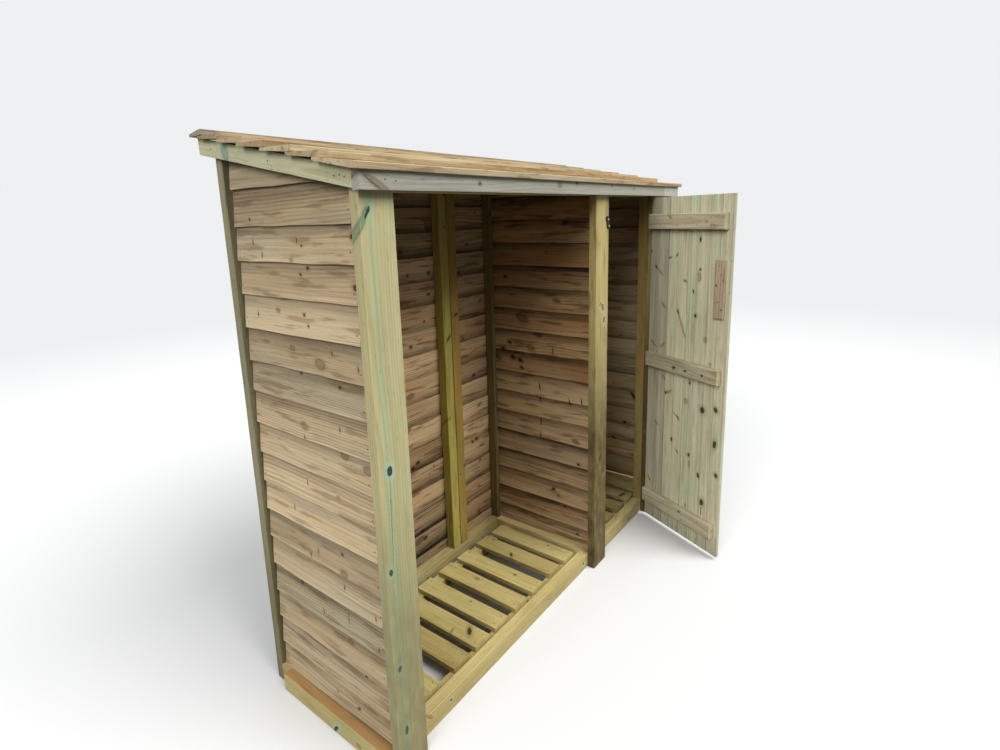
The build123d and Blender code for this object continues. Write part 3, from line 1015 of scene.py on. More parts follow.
@dataclass
class Piece:
    """One object of the visual model: lengths of timber and their nails."""

    name: str
    finish: PineFinish | MetalFinish
    slot: str
    stands_for: Sequence[str]
    body: str = "frame"
    seen: Sequence[Knot] = ()
    turn: Matrix | None = None
    nail_radius: float = 0.0026
    nail_proud: float = 0.0006
    crown: float = 0.72

    def __post_init__(self) -> None:
        """Starts the piece's mesh and its random draws, which depend only on its name."""
        self.bm = bmesh.new()
        self.rng = random.Random(self.name)

    def add(self, *timbers: Timber) -> "Piece":
        """Puts in lengths of timber and drives their nails.

        Args:
            timbers: the lengths.

        Returns:
            This piece.
        """
        for timber in timbers:
            mesh = timber.mesh(self.seen, self.rng)
            self.bm.from_mesh(mesh)
            bpy.data.meshes.remove(mesh)
            for along, across in timber.nails:
                spot = timber.point(along / timber.length, across / timber.width, 1.0)
                self.head(spot, timber.face_normal(), self.nail_radius, self.nail_proud)
        return self

    def head(self, spot: Vector, normal: Vector, radius: float, proud: float) -> None:
        """A nail or screw head: a low crowned disc on a face.

        Args:
            spot: its middle.
            normal: the direction that it looks in.
            radius: its radius at the face.
            proud: how far it stands off the face.
        """
        made = bmesh.ops.create_cone(self.bm, cap_ends=True, segments=12, radius1=radius,
                                     radius2=radius * self.crown, depth=proud * 2)
        turn = normal.to_track_quat("Z", "Y").to_matrix().to_4x4()
        bmesh.ops.transform(self.bm, matrix=Matrix.Translation(spot) @ turn, verts=made["verts"])
        for face in {f for v in made["verts"] for f in v.link_faces}:
            face.material_index = Face.METAL.value

    def done(self) -> None:
        """Makes the object, gives it its finishes and puts it on its body."""
        if self.turn is not None:
            bmesh.ops.transform(self.bm, matrix=self.turn, verts=self.bm.verts)
        mesh = meshed(self.bm, self.name)
        if isinstance(self.finish, PineFinish):
            finishes = (self.finish, self.finish.cut_end(), NAIL, RIPPED)
        else:
            finishes = (self.finish,) * 3
        for finish in finishes:
            mesh.materials.append(shelf(finish))
        made = placed(self.name, mesh)
        if self.stands_for:
            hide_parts(*self.stands_for)
        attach(made, self.body)
        LOG.info("%s: %d faces", self.name, len(mesh.polygons))


# The store


@dataclass(frozen=True)
class RoofPlane:
    """The plane that the undersides of the roof boards lie on."""

    height: float = 1520.0
    pitch: float = math.radians(11.0)

    def cut(self) -> Cut:
        """The saw cut that fits a piece under the roof."""
        return Cut(at(0, 0, self.height), Vector((0.0, -math.sin(self.pitch), math.cos(self.pitch))))


@dataclass
class BaseFrame:
    """The rails that stand on the ground, and the top rails that match them."""

    roof: RoofPlane = RoofPlane()
    base_rails: Sequence[tuple[str, Vector, Tone]] = (
        ("front_base_rail", FRONT, Tone(0.1, -0.05)), ("rear_base_rail", FRONT, Tone(-1.5, 0.35)),
        ("left_base_rail", LEFT, Tone(-0.2, 0.35)), ("right_base_rail", RIGHT, Tone(-0.2, 0.3)),
        ("division_base_rail", LEFT, Tone(1.6, 0.15)))
    sawn_on_top: Sequence[str] = ("left_base_rail", "right_base_rail")
    top_rails: Sequence[str] = ("front_top_rail", "rear_top_rail")
    top_tone: Tone = Tone(-0.2, 0.2)

    def build(self) -> None:
        """Builds each rail on its own node."""
        for node, face, tone in self.base_rails:
            ripped = UP if node in self.sawn_on_top else None
            rail = squared(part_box(node), face, tone=tone, parts=14, ripped=ripped)
            Piece(node + "_timber", RAIL, "rail_timber", [node]).add(rail).done()
        for node in self.top_rails:
            rail = squared(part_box(node), FRONT, tone=self.top_tone, arris=0.0008, cuts=[self.roof.cut()])
            Piece(node + "_timber", RAIL, "rail_timber", [node]).add(rail).done()


@dataclass
class SlattedFloor:
    """Floor slats, nailed to the bearers below them."""

    end_nail: float = 0.018
    nail_shares: Sequence[float] = (0.22, 0.78)
    ragged: float = 0.003
    bearer_tone: Tone = Tone(0.5, -0.1)
    tones: Sequence[Tone] = (Tone(0.2, -0.3), Tone(0.5, 0.0), Tone(-0.3, 0.1), Tone(0.5, 0.0),
                             Tone(0.9, 0.0), Tone(0.6, 0.1), Tone(1.0, 0.0), Tone(-0.3, 0.6),
                             Tone(1.0, 0.0))

    def slats(self, node: str, name: str) -> None:
        """Lays the slats of one bay.

        Args:
            node: the CAD node of the slats.
            name: name of the piece.
        """
        piece = Piece(name, SLAT, "floor_slat", [node])
        for index, (low, high) in enumerate(solids_of(node)):
            front, back = (BACK * piece.rng.uniform(0, self.ragged) for _ in range(2))
            box = (low + front, high - back)
            length, width = box[1].y - box[0].y, box[1].x - box[0].x
            nails = [(along, share * width) for along in (self.end_nail, length - self.end_nail)
                     for share in self.nail_shares]
            tone = self.tones[index % len(self.tones)].stray(piece.rng, 0.2)
            piece.add(squared(box, UP, tone=tone, wander=0.0006, nails=nails, arris=0.0018))
        piece.done()

    def build(self) -> None:
        """Builds the bearers and the slats of both bays."""
        for node in ("front_floor_bearers", "rear_floor_bearers"):
            bearers = [squared(box, UP, tone=self.bearer_tone) for box in solids_of(node)]
            Piece(node + "_timber", SLAT, "floor_slat", [node]).add(*bearers).done()
        self.slats("main_floor_slats", "main_bay_slats")
        self.slats("cupboard_floor_slats", "cupboard_slats")


@dataclass
class Uprights:
    """Posts, whose tops are cut to the roof, and battens."""

    roof: RoofPlane = RoofPlane()
    face: float = -30.0
    streak: Triple = (0.026, 0.013, 0.7)

    def left_post_knots(self) -> list[Knot]:
        """Places the marks of the front left post.

        Returns:
            Its knots, the green blade and gash near its head, and its long crack.
        """
        dead = ((32, 836, 7.5, 1.5), (14, 582, 5.5, 1.5), (20, 311, 5.5, 1.5), (28, 123, 5, 2.5))
        blade = ((5, 1405, 6.5, 4.6, 0.5),)
        gash_and_crack = ((21, 1424, 3, 4.5, 0.55), (27, 700, 0.7, 170, 0.03))
        return [*knots_on("y", self.face, dead, 0.05),
                *knots_on("y", self.face, blade, kind=KnotKind.LIVE),
                *knots_on("y", self.face, gash_and_crack)]

    def middle_post_knots(self) -> list[Knot]:
        """Places the knots of the front middle post.

        Returns:
            Its grown-in knots.
        """
        marks = ((1118, 1062, 8, 1.7, -0.5), (1132, 1012, 7, 1.6, 0.4), (1108, 466, 7, 2.0, 0.5),
                 (1136, 401, 7, 1.8, -0.4), (1100, 1075, 4, 2.5, 0.6), (1120, 120, 4, 2.0, 0.2))
        return knots_on("y", self.face, marks)

    def post(self, node: str, finish: PineFinish, tone: Tone, seen: Sequence[Knot] = (),
             **details: Any) -> None:
        """Stands one flat post.

        Args:
            node: its CAD node.
            finish: its finish.
            tone: how it differs from the other posts.
            seen: knots with known places.
            details: the rest of what a Timber takes.
        """
        face = BACK if node.startswith("rear") else FRONT
        timber = squared(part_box(node), face, tone=tone, parts=30, arris=0.0022, cuts=[self.roof.cut()],
                         **details)
        Piece(node + "_timber", finish, "post_timber", [node], seen=seen).add(timber).done()

    def posts(self) -> None:
        """The six flat posts."""
        # The last number of each tone is the height below which the post darkens, partly as damp and partly
        # as painted shade near the ground.
        self.post("front_left_post", POST, Tone(0.0, 0.0, 0.0, 0.75), self.left_post_knots(),
                  wash=self.streak)
        self.post("front_middle_post", MIDPOST, Tone(0.5, 0.0, 0.0, 0.95), self.middle_post_knots())
        # The door post is darker, and darker again below 1.1 m, as painted shade behind the open door, with
        # some wet wood.
        self.post("door_post", MIDPOST, Tone(-2.2, 0.6, 0.0, 1.1))
        self.post("front_right_post", POST, Tone(0.0, -0.1, 0.0, 0.2))
        self.post("rear_left_post", POST, Tone(-2.6, 0.15, 0.25, 0.7))
        self.post("rear_right_post", POST, Tone(-1.0, 0.1, 0.25, 0.3))

    def battens(self) -> None:
        """The uprights inside the walls."""
        # The batten inside the door post and the division's corner batten are darkened as painted shade, in
        # the cupboard and in the corner.
        tones = {"front_battens": [Tone(), Tone(-0.5, 0.2), Tone(-2.2, 0.2, 0.1), Tone()],
                 "rear_battens": [Tone(-0.2, 0.1)],
                 "middle_back_battens": [Tone(-0.3, -0.25), Tone(-1.3, 0.5)],
                 "division_corner_batten": [Tone(-3.6, 0.5, 0.2)]}
        for node, given in tones.items():
            face = BACK if node == "front_battens" else FRONT
            battens = [squared(box, face, tone=given[index % len(given)], parts=20, arris=0.002,
                               wander=0.0008) for index, box in enumerate(solids_of(node))]
            Piece(node + "_timber", BATTEN, "batten_timber", [node]).add(*battens).done()

    def build(self) -> None:
        """Builds posts and battens."""
        self.posts()
        self.battens()


@dataclass
class LappedWalls:
    """Walls of lapped boards, each board thin at its upper edge and thick at its lower one.

    Out is how far a lower edge stands off the battens. Boards are cut ragged or flush at their
    ends, and the topmost ones, within the bare top, have no nails. Reach is how far a back
    wall's boards run on past its solid at each end, so that no light shows beside the posts or
    between the two walls.
    """

    pitch: float = 0.090
    lap: float = 0.018
    thick: float = 0.0072
    thin: float = 0.005
    out: float = 0.014
    nail_up: float = 0.027
    nail_stray: float = 0.004
    lift_stray: float = 0.001
    bare_top: float = 0.13
    narrowest: float = 0.004
    ragged: float = 0.003
    flush: float = 0.00003
    courses: int = 16
    batten_middle: float = 0.019
    post_gap: float = 0.008
    foot_rise: float = 0.012
    foot_clear: float = 0.0002
    stray: float = 1.2
    left_face: float = 10.0
    division_face: float = 1106.0
    back_face: float = 506.0
    roof: RoofPlane = RoofPlane()
    reach: dict[str, tuple[float, float]] = field(default_factory=lambda: {
        "back_wall_left": (0.0076, 0.00147), "back_wall_right": (0.00147, 0.0076)})

    def left_knots(self) -> list[Knot]:
        """Places the knots seen on the left wall.

        Returns:
            Dead knots, grown-in ones and short dark flecks.
        """
        dead = ((188, 1301, 3.5), (217, 1284, 3), (16, 1373, 5), (15, 1263, 6), (218, 1186, 3),
                (202, 1160, 2.5), (261, 1033, 3), (105, 1021, 3.5), (155, 561, 3), (101, 223, 3),
                (142, 677, 2.5), (202, 1354, 2.5), (414, 1419, 2.5))
        live = ((285, 1096, 6), (170, 1069, 11), (150, 509, 8), (111, 846, 8), (25, 829, 9),
                (262, 892, 8), (152, 302, 6), (245, 1319, 4), (330, 1190, 5), (149, 724, 4))
        flecks = ((221, 1365), (372, 1329), (413, 1363), (425, 1172), (124, 1101), (28, 1076),
                  (279, 728), (258, 534), (291, 514), (156, 466), (355, 399), (259, 350), (35, 429),
                  (352, 635), (262, 862), (32, 340), (361, 395), (117, 912))
        streak = ((151, 375, 2.2, 7.0, 1.5),)
        return [*knots_on("x", self.left_face, dead, 1.25, 0.4),
                *knots_on("x", self.left_face, live, 1.5, 0.2, kind=KnotKind.LIVE),
                *knots_on("x", self.left_face, flecks, 1.6, 3.2, 1.35),
                *knots_on("x", self.left_face, streak, kind=KnotKind.LIVE)]

    def division_knots(self) -> list[Knot]:
        """Places the knots seen on the division wall.

        Returns:
            Dead knots, grown-in ones and flecks.
        """
        dead = ((390, 883, 5), (423, 853, 5), (376, 819, 6), (338, 812, 6), (405, 1160, 4),
                (331, 782, 4), (68, 99, 3), (61, 412, 3))
        live = ((326, 992, 13), (284, 872, 9), (456, 809, 8), (75, 508, 7), (250, 930, 8),
                (160, 1075, 7))
        flecks = ((177, 870), (136, 789), (243, 709), (241, 657), (239, 499), (240, 560), (48, 679),
                  (102, 668))
        return [*knots_on("x", self.division_face, dead, 1.5, 0.3),
                *knots_on("x", self.division_face, live, 2.0, 0.3, kind=KnotKind.LIVE),
                *knots_on("x", self.division_face, flecks, 1.9, 4.5, 1.4)]

    def back_knots(self) -> list[Knot]:
        """Places the knots seen on the inside of the back walls.

        Returns:
            Dead knots and grown-in ones.
        """
        dead = ((756, 1206, 4), (750, 1127, 4), (646, 1205, 3), (643, 484, 5), (617, 470, 5),
                (659, 158, 5), (645, 192, 4), (929, 1189, 4), (1003, 460, 4), (972, 456, 3),
                (1018, 356, 3))
        live = ((626, 162, 12), (625, 757, 9), (600, 628, 7), (1030, 610, 7), (1057, 1062, 5))
        return [*knots_on("y", self.back_face, dead, 1.5, 0.3),
                *knots_on("y", self.back_face, live, 1.8, 0.2, kind=KnotKind.LIVE)]

    def board(self, start: Vector, run: Vector, outward: Vector, low: float, **details: Any) -> Timber:
        """One board of a wall.

        Args:
            start: end of the plane that the battens' faces make, at the ground.
            run: the board's length.
            outward: the direction that the wall looks in.
            low: height of the board's lower edge.
            details: the rest of what a Timber takes.

        Returns:
            The board.
        """
        high = low + self.pitch + self.lap
        corners = [(self.out - self.thick, low), (self.out, low), (self.thin, high), (0.0, high)]
        section = tuple(start + outward * u + UP * z for u, z in corners)
        return Timber(section, run, arris=0.0008, **details)

    def foot_cut(self, node: str, outward: Vector) -> Cut:
        """The saw cut along the foot of a wall's lowest board.

        Args:
            node: the CAD node that the wall stands for.
            outward: the direction that the wall looks in.

        Returns:
            A cut that clears the rail below, and that rises to the front on the outer walls.
        """
        low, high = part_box(node)
        rise = self.foot_rise if node in ("left_wall", "right_wall") else 0.0
        slope = Vector((0.0, 1.0, -rise / (high.y - low.y))) if outward.x else BACK
        foot = Vector((low.x, high.y, low.z + self.foot_clear))
        return Cut(foot, slope.cross(RIGHT).normalized())

    def wall(self, node: str, finish: PineFinish, outward: Vector, trim: float,
             nails: Sequence[float], tones: Sequence[Tone], seen: Sequence[Knot] = (),
             nudge: Sequence[float] = ()) -> None:
        """Boards a wall up.

        Args:
            node: the CAD node that the wall stands for.
            finish: the boards' finish.
            outward: the direction that the wall looks in.
            trim: what the lowest board has lost from its lower edge.
            nails: places of the nailed battens along the wall, from its start.
            tones: the tones that the boards stray from, spread from the foot up.
            seen: knots with known places.
            nudge: how far each board sits above its place, in metres.
        """
        piece = Piece(node + "_boards", finish, "wall_board", [node], seen=seen)
        low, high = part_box(node)
        size = high - low
        near, far = self.reach.get(node, (0.0, 0.0))
        ragged = self.flush if node in self.reach else self.ragged
        run = Vector((0.0, size.y, 0.0)) if outward.x else Vector((size.x, 0.0, 0.0))
        ahead = run.normalized()
        start = Vector((high.x if outward.x < 0 else low.x, low.y, 0.0)) - ahead * near
        run += ahead * (near + far)
        bottom = low.z - trim
        index = 0
        while bottom < high.z - self.narrowest:
            stray = self.lift_stray
            lift = nudge[index] if index < len(nudge) else piece.rng.uniform(-stray, stray)
            ends = [piece.rng.uniform(0, ragged) for _ in range(2)]
            length = run.length - ends[0] - ends[1]
            tone = tones[min(index * len(tones) // self.courses, len(tones) - 1)]
            heads = [(along - ends[0] + piece.rng.uniform(-self.nail_stray, self.nail_stray),
                      self.nail_up + piece.rng.uniform(-self.nail_stray, self.nail_stray))
                     for along in nails]
            cuts = [self.roof.cut()]
            if index == 0:
                cuts.append(self.foot_cut(node, outward))
            if index == 0 or bottom + self.nail_up > high.z - self.bare_top:
                heads = []
            piece.add(self.board(start + ahead * ends[0], ahead * length, outward,
                                 bottom + (lift if index else 0.0), cuts=cuts, nails=heads,
                                 tone=tone.stray(piece.rng, self.stray), wander=0.0012, parts=16))
            bottom += self.pitch
            index += 1
        piece.done()

    def build(self) -> None:
        """Builds the five walls."""
        low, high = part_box("left_wall")
        ends = (self.batten_middle - self.post_gap, high.y - low.y - self.batten_middle + self.post_gap)
        nudge = [n * MM for n in (0, 0, 2, 0, 0, -1, -2, -4, -4, -5, 0, -2, -1, 1, 0, -1, 4)]
        # The left wall's topmost boards are darker, partly as painted shadow of the barge and roof.
        self.wall("left_wall", CLADDING, LEFT, trim=0.006, nails=ends, seen=self.left_knots(), nudge=nudge,
                  tones=(Tone(0.6, -0.1), Tone(0.4, -0.1), Tone(1.0), Tone(0.6), Tone(0.5),
                         Tone(-0.6, 0.1)))
        self.wall("right_wall", CLADDING, RIGHT, trim=0.006, nails=ends, tones=(Tone(0.0, 0.1),))
        self.wall("division_wall", DIVISION, LEFT, trim=0.018, nails=ends, seen=self.division_knots(),
                  tones=(Tone(0.4, 0.0, 0.12), Tone(-0.5, -0.1, 0.15), Tone(0.5, 0.0, 0.1),
                         Tone(-1.0, 0.4), Tone(-0.8, 0.6), Tone(0.0, 0.5)))
        # The back walls' board tones are partly painted light: the left wall's boards from about mid height
        # to near the top, and the right wall's lower boards, are lightened where light falls, and the left
        # wall's lowest boards are darkened as painted shade.
        self.wall("back_wall_left", INNER, BACK, trim=0.020, nails=(0.6906, 0.7086),
                  seen=self.back_knots(),
                  tones=(Tone(-2.2, 0.1), Tone(-0.5), Tone(1.2), Tone(3.0), Tone(3.0), Tone(-0.3)))
        self.wall("back_wall_right", INNER, BACK, trim=0.020, nails=(0.0213, 0.2693),
                  seen=self.back_knots(),
                  tones=(Tone(0.8, 0.1), Tone(2.0), Tone(0.3), Tone(-0.2, 0.2), Tone(-0.6)))


@dataclass
class EavesTrim:
    """The fascia across the front, its pieced-in end, and the two barges."""

    roof: RoofPlane = RoofPlane()
    fascia_face: float = -53.0
    fascia_nails: Sequence[tuple[float, float]] = (
        (1.176, 0.018), (1.210, 0.018), (0.07, 0.022), (0.1, 0.02))
    end_nails: Sequence[tuple[float, float]] = ((0.05, 0.02), (0.11, 0.024))
    barge_nails: Sequence[tuple[float, float]] = (
        (0.022, 0.020), (0.038, 0.022), (0.30, 0.02), (0.56, 0.02))

    def fascia(self) -> None:
        """The fascia and its short end piece."""
        live = ((773, 1497, 8, 1.4, 0.1), (34, 1480, 7.0, 5.0, -0.5), (1330, 1492, 4, 1.5, 0.2))
        dead = ((22, 1483, 1.2, 18.0, -0.55), (880, 1503, 3.5, 1.6, 0.2), (1137, 1500, 2.2, 1.4, 0.0),
                (376, 1489, 3.0, 1.5, 0.0))
        knots = [*knots_on("y", self.fascia_face, live, kind=KnotKind.LIVE),
                 *knots_on("y", self.fascia_face, dead)]
        for node, tone, nails in (("front_fascia", Tone(0.0, -0.05, 0.1), self.fascia_nails),
                                  ("fascia_end_piece", Tone(2.2, 0.0, 0.1), self.end_nails)):
            board = squared(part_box(node), FRONT, tone=tone, parts=24, arris=0.001, nails=nails,
                            cuts=[self.roof.cut()])
            Piece(node + "_board", TRIM, "trim_board", [node], seen=knots).add(board).done()

    def barge(self, node: str, outward: Vector, seen: Sequence[Knot]) -> None:
        """A barge, cut plumb at both ends.

        Args:
            node: its CAD node.
            outward: the direction that it looks in.
            seen: knots with known places.
        """
        low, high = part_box(node)
        front_low, front_high, back_low, _ = end_points(node)
        near, far = (high.x, low.x) if outward.x < 0 else (low.x, high.x)
        section = tuple(Vector((x, p.y, p.z)) for x, p in (
            (near, front_low), (far, front_low), (far, front_high), (near, front_high)))
        board = Timber(section, back_low - front_low, nails=self.barge_nails, arris=0.001, parts=14)
        Piece(node + "_board", BARGE, "trim_board", [node], seen=seen).add(board).done()

    def build(self) -> None:
        """Builds fascia and barges."""
        self.fascia()
        self.barge("left_barge", LEFT, [Knot(at(-14, 453, 1588), 12, 1.6, 1.2, KnotKind.LIVE),
                                        Knot(at(-14, 25, 1500), 1.8)])
        self.barge("right_barge", RIGHT, [])


@dataclass
class BoardRoof:
    """Roof boards, each riding on the one below."""

    support_places: Sequence[float] = (0.030, 0.62, 1.15, 1.838)
    tones: Sequence[Tone] = (Tone(0.7, 0.1), Tone(-0.4, 0.25), Tone(0.8, -0.1), Tone(-0.8, 0.3),
                             Tone(0.2, 0.1, 0.15), Tone(-1.2, 0.4), Tone(-1.4, 0.0, 0.5))
    nail_up: float = 0.032
    ragged: float = 0.004

    def build(self) -> None:
        """Lays the boards from the eave up."""
        names = sorted(n for n in frame["nodes"] if n.startswith("roof_board_"))
        for index, node in enumerate(names):
            low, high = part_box(node)
            piece = Piece(node + "_pine", ROOFING, "roof_board", [node])
            lower, lower_top, upper, upper_top = end_points(node)
            trims = [piece.rng.uniform(0.0, self.ragged) for _ in range(2)]
            section = tuple(p + RIGHT * trims[0] for p in (lower, lower_top, upper_top, upper))
            run = RIGHT * (high.x - low.x - sum(trims))
            nails = [(x - trims[0], self.nail_up) for x in self.support_places]
            piece.add(Timber(section, run, tone=self.tones[index % len(self.tones)], parts=36,
                             arris=0.0012, wander=0.0009, nails=nails, knotty=2.2)).done()


@dataclass
class CupboardDoor:
    """The ledged door, built shut and then swung on its pins to where it stands.

    Each board is two halves, with a bead between them. Streaked is the number of the half
    that carries a pale streak, counted from the hinges.
    """

    width: float = 0.418
    hinge_gap: float = 0.004
    pin_to_face: float = 0.005
    thickness: float = 0.014
    boards: int = 4
    ledge_out: float = 0.026
    ledge_hinge_end: float = 0.011
    ledge_free_end: float = 0.019
    ledge_nails: Sequence[tuple[float, float]] = ((-0.016, 0.016), (0.014, 0.045))
    pad_out: float = 0.012
    pad_width: float = 0.046
    pad_nails: Sequence[tuple[float, float]] = ((0.02, 0.02), (0.2, 0.025))
    joint: float = 0.0034
    bead: float = 0.0012
    gap: float = 0.0006
    streaked: int = 1
    streak: float = 0.7
    # The board at the hinges is darker, partly as painted shade from the post and the roof.
    tones: Sequence[Tone] = (Tone(-1.1, 0.3, 0.15), Tone(0.0, 0.15), Tone(0.0, -0.3), Tone(0.2, -0.15))

    def __post_init__(self) -> None:
        """Reads the pins and the angle that the door stands at."""
        hinge = next(j for j in frame["joints"] if j["name"] == "door_hinge")
        pin = Vector(hinge["pos_m"])
        spin = Matrix.Rotation(math.radians(-hinge["range_deg"][0]), 4, "Z")
        self.turn = Matrix.Translation(pin) @ spin @ Matrix.Translation(-pin)
        self.hinge_x = pin.x - self.hinge_gap
        self.inner = pin.y + self.pin_to_face + self.thickness
        self.free_x = self.hinge_x - self.width + self.ledge_free_end

    def knots(self) -> list[Knot]:
        """Places the knots seen on the inner face.

        Returns:
            The knots, whose tables give the distance from the hinge edge and the height.
        """
        dead = ((3, 1240, 4, 1.4, 0.0), (113, 1216, 2.2, 3.0, -1.2), (150, 1229, 2.2, 3.2, -0.5),
                (199, 1127, 3, 2.2, 1.0), (268, 1293, 4, 2.0, 0.0), (274, 1178, 4, 1.2, 0.0),
                (243, 1088, 3, 2.2, 0.1), (166, 998, 3.5, 2.4, 0.3), (259, 993, 5, 1.3, 0.0),
                (244, 712, 4, 1.8, 0.0), (315, 615, 10, 1.2, 0.0), (380, 635, 8, 1.3, 0.5),
                (188, 542, 2.5, 3.5, 0.6), (155, 434, 4.5, 1.6, 0.1), (189, 391, 2.5, 3.0, 0.8),
                (383, 492, 7, 2.0, -0.2), (253, 399, 5, 1.4, 0.0), (307, 329, 5, 1.8, 0.2),
                (397, 365, 6.5, 1.3, 0.3), (26, 198, 2.2, 6.0, 0.5), (332, 219, 8.5, 1.5, 0.0),
                (332, 180, 1.6, 12.0, 0.0), (36, 1172, 3, 3.2, 0.7), (108, 634, 4.5, 1.8, -0.9))
        live = ((58, 1155, 4, 4.0, 0.85), (268, 1148, 9, 1.6, 0.0), (87, 1012, 5, 2.4, 0.8),
                (188, 946, 4, 12.0, 0.39), (314, 904, 7, 1.4, 0.0), (30, 840, 4, 4.0, 0.9),
                (84, 842, 4, 3.4, -0.8), (341, 810, 5, 1.4, 0.0), (227, 628, 8, 1.2, 0.0),
                (130, 642, 4.5, 3.6, -1.0), (262, 358, 8, 1.8, 0.2), (247, 164, 5, 1.5, 0.0),
                (165, 556, 3, 5.0, 0.9), (96, 700, 5, 2.0, 0.5), (64, 480, 4, 3.0, 0.9))
        groups = ((dead, KnotKind.DEAD), (live, KnotKind.LIVE))
        return [Knot(Vector((self.hinge_x - s * MM, self.inner, z * MM)), radius, stretch, lean, kind)
                for marks, kind in groups for s, z, radius, stretch, lean in marks]

    def leaf(self) -> None:
        """The upright boards, each with a bead down its middle and a V joint at its edges."""
        low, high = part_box("door_boards")
        piece = Piece("door_leaf_boards", DOOR, "door_board", ["door_boards"], "door",
                      self.knots(), self.turn)
        half = self.width / self.boards / 2
        for index in range(self.boards * 2):
            right = self.hinge_x - index * half
            gaps = (0.0 if index % 2 or index == 0 else self.gap, self.gap if index % 2 else 0.0)
            box = (Vector((right - half + gaps[1], self.inner - self.thickness, low.z)),
                   Vector((right - gaps[0], self.inner, high.z)))
            edges = (self.joint, self.bead) if index % 2 else (self.bead, self.joint)
            streak = self.streak if index == self.streaked else 0.0
            piece.add(squared(box, BACK, tone=self.tones[index // 2], arris=edges, parts=24,
                              wander=0.0, knotty=0.0, wash=(half / 2, half / 5, streak)))
        piece.done()

    def bar(self, node: str, tone: Tone) -> None:
        """A ledge across the inner face, nailed to each board.

        Args:
            node: its CAD node.
            tone: how it differs from the other ledges.
        """
        low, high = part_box(node)
        right = self.hinge_x - self.ledge_hinge_end
        box = (Vector((self.free_x, self.inner, low.z)),
               Vector((right, self.inner + self.ledge_out, high.z)))
        step = (right - self.free_x) / self.boards
        nails = [(step * (i + 0.5) + aside, up) for i in range(self.boards)
                 for aside, up in self.ledge_nails]
        ledge = squared(box, BACK, tone=tone, nails=nails, arris=0.0035, parts=14, knotty=6)
        Piece(node + "_timber", LEDGE, "door_board", [node], "door", turn=self.turn).add(ledge).done()

    def pad(self) -> None:
        """The upright pad that the latch side carries."""
        node = "door_latch_pad"
        low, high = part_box(node)
        box = (Vector((self.free_x, self.inner, low.z)),
               Vector((self.free_x + self.pad_width, self.inner + self.pad_out, high.z)))
        pad = squared(box, BACK, tone=Tone(0.0, 0.1), arris=0.0018, knotty=20, nails=self.pad_nails)
        Piece(node + "_timber", PAD, "door_board", [node], "door", turn=self.turn).add(pad).done()

    def build(self) -> None:
        """Builds the door's pieces."""
        self.leaf()
        self.bar("door_bottom_ledge", Tone(0.3, 0.1))
        self.bar("door_middle_ledge", Tone(0.0, 0.15))
        self.bar("door_top_ledge", Tone(0.1, 0.0))
        self.pad()


@dataclass
class Ironwork:
    """The black hinges and latch keep, which keep their CAD shapes, and the screws that hold them."""

    door: CupboardDoor = field(default_factory=CupboardDoor)
    nodes: Sequence[str] = ("hinge_straps", "hinge_post_leaves", "latch_keep")
    levels: Sequence[float] = (0.1225, 1.3637)
    iron: float = 0.003
    strap_screws: Sequence[float] = (0.022, 0.075, 0.140, 0.205)
    leaf_screws: Sequence[tuple[float, float]] = ((0.019, -0.040), (0.024, 0.0), (0.019, 0.040))
    keep_screws: Sequence[tuple[float, float]] = ((1153.0, 1382.0), (1160.0, 1358.0))
    screw_radius: float = 0.0042
    screw_proud: float = 0.0011
    slot_out: float = 0.0009
    slot_share: float = 0.3
    slot_proud: float = 0.0004

    def paint(self) -> None:
        """Paints the iron."""
        for node in self.nodes:
            shown = frame["nodes"][node]
            shown.data.materials.clear()
            shown.data.materials.append(shelf(IRON))
            LOG.info("%s: painted", node)

    def screws(self, name: str, finish: MetalFinish, spots: Iterable[Vector], body: str = "frame",
               turn: Matrix | None = None) -> None:
        """Drives round-headed screws that face the front.

        Args:
            name: name of the piece that holds them.
            finish: their finish.
            spots: where the heads sit.
            body: the body that they ride on.
            turn: how the iron that they hold is turned.
        """
        piece = Piece(name, finish, "black_iron", (), body, turn=turn)
        for spot in spots:
            piece.head(spot, FRONT, self.screw_radius, self.screw_proud)
            piece.head(spot + FRONT * self.slot_out, FRONT, self.screw_radius * self.slot_share,
                       self.slot_proud)
        piece.done()

    def build(self) -> None:
        """Paints the iron and drives the screws."""
        self.paint()
        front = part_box("front_left_post")[0].y - self.iron
        edge = self.door.hinge_x
        straps = [Vector((edge - along, front, z)) for z in self.levels for along in self.strap_screws]
        self.screws("hinge_strap_screws", SCREW, straps, "door", self.door.turn)
        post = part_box("door_post")[0].x
        leaves = [Vector((post + x, front, level + z)) for level in self.levels for x, z in self.leaf_screws]
        self.screws("hinge_leaf_screws", SCREW, leaves)
        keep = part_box("latch_keep")[0].y
        spots = [Vector((at(x, 0, 0).x, keep, z * MM)) for x, z in self.keep_screws]
        self.screws("latch_keep_screws", ZINC, spots)


# The studio


@dataclass(frozen=True)
class Lamp:
    """A broad soft lamp, far off in a direction; its angle is in degrees."""

    name: str
    source: Triple
    strength: float
    angle: float

    def hang(self) -> None:
        """Hangs the lamp and points it at the store."""
        data = bpy.data.lights.new(self.name, "SUN")
        data.energy = self.strength
        data.angle = math.radians(self.angle)
        made = placed(self.name, data)
        made.rotation_euler = Vector(self.source).to_track_quat("Z", "Y").to_euler()


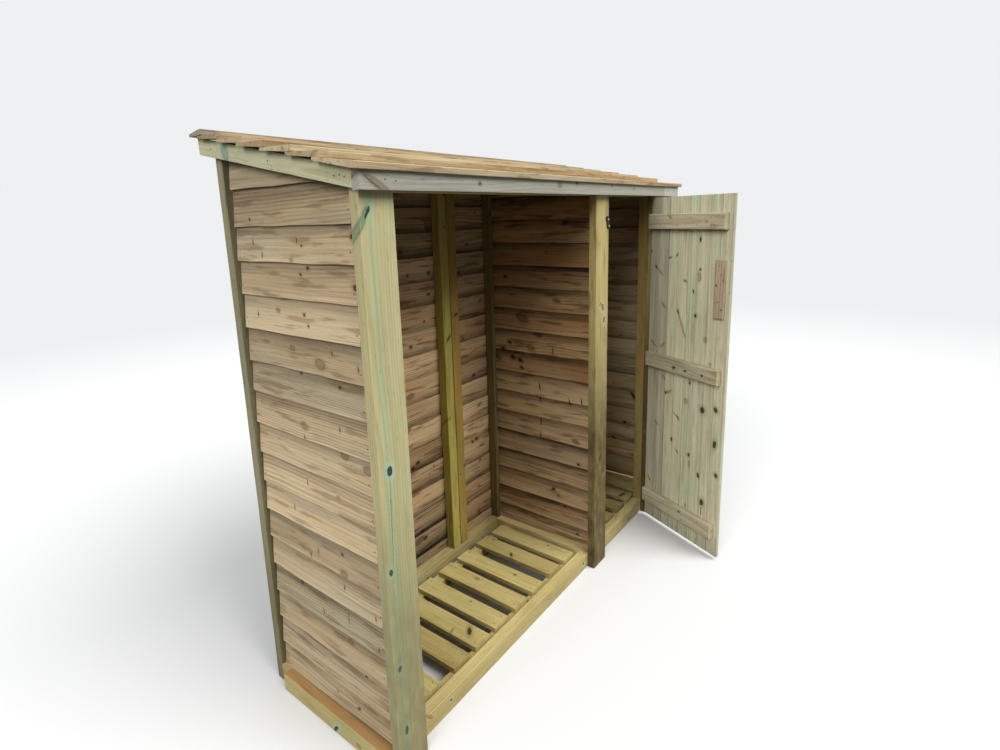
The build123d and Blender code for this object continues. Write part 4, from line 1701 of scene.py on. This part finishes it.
@dataclass
class Studio:
    """Plain pale floor, soft light and the camera.

    The floor melts into the backdrop between two distances. Sky is the light's strength at
    the horizon and overhead. The camera's place is in millimetres from the corner that
    measured places start from, and its turn in radians.
    """

    floor_radius: float = 14.0
    floor_drop: float = 0.0006
    floor_melts: tuple[float, float] = (2.5, 8.0)
    floor_shown: Colour = (0.74, 0.74, 0.735)
    floor_bounce: Colour = (0.09, 0.089, 0.087)
    backdrop: Colour = (0.86, 0.87, 0.88)
    sky: tuple[float, float] = (0.10, 0.68)
    sky_colour: Colour = (0.95, 0.98, 1.0)
    horizon: float = -0.05
    lamps: Sequence[Lamp] = (Lamp("front_lamp", (0.12, -0.70, 0.80), 2.85, 42.0),
                             Lamp("side_lamp", (-1.0, -0.12, 0.60), 1.9, 35.0))
    lens: float = 20.137
    film: float = 36.0
    nearest: float = 0.05
    shift: tuple[float, float] = (0.0136, -0.045)
    place: Triple = (-772.09, -959.74, 1407.65)
    turn: Triple = (1.370183, 0.031855, -0.911510)

    def floor(self) -> None:
        """A round floor, plain and pale, whose far edge melts into the backdrop."""
        bench = Bench(bpy.data.materials.new("studio_floor"))
        place = bench.out("ShaderNodeTexCoord", output="Object")
        far = place.math("LENGTH", output="Value").step(*self.floor_melts)
        seen = bench.seen()
        colour = bench.blend(self.floor_bounce, self.floor_shown, seen)
        floor = bench.out("ShaderNodeBsdfDiffuse", {"Color": colour})
        glow = bench.out("ShaderNodeEmission", {"Color": self.backdrop, "Strength": 1.0})
        bm = bmesh.new()
        bmesh.ops.create_circle(bm, cap_ends=True, segments=96, radius=self.floor_radius)
        bmesh.ops.translate(bm, vec=(0, 0, -self.floor_drop), verts=bm.verts)
        mesh = meshed(bm, "studio_floor")
        mesh.materials.append(bench.close(bench.mix(floor, glow, seen * far)))
        placed("studio_floor", mesh)

    def world(self) -> None:
        """A sky that is brightest overhead and shows as the even backdrop."""
        bench = Bench(bpy.data.worlds.new("studio_sky"))
        up = bench.out("ShaderNodeTexCoord", output="Generated").split()[2]
        bottom, top = self.sky
        strength = bench.out("ShaderNodeMapRange",
                             {"Value": up, 1: self.horizon, 2: 1.0, 3: bottom, 4: top})
        light = bench.out("ShaderNodeBackground", {"Color": self.sky_colour, "Strength": strength})
        shown = bench.out("ShaderNodeBackground", {"Color": self.backdrop})
        bpy.context.scene.world = bench.close(bench.mix(light, shown, bench.seen()), "World")

    def lights(self) -> None:
        """The soft lamps."""
        for lamp in self.lamps:
            lamp.hang()

    def camera(self) -> None:
        """The camera at the photograph's viewing angle."""
        data = bpy.data.cameras.new("camera")
        data.sensor_width = self.film
        data.lens = self.lens
        data.shift_x, data.shift_y = self.shift
        data.clip_start = self.nearest
        made = placed("camera", data)
        made.location = at(*self.place)
        made.rotation_euler = self.turn
        bpy.context.scene.camera = made

    def build(self) -> None:
        """Sets the stage."""
        self.floor()
        self.world()
        self.lights()
        self.camera()
        bpy.context.scene.view_settings.view_transform = "Standard"


def main() -> None:
    """Builds the store and sets the stage."""
    logging.basicConfig(level=logging.INFO, format="%(name)s %(message)s")
    for part in (BaseFrame(), SlattedFloor(), Uprights(), LappedWalls(), EavesTrim(), BoardRoof(),
                 CupboardDoor(), Ironwork(), Studio()):
        LOG.info("%s", type(part).__name__)
        part.build()


if __name__ == "__main__":
    main()
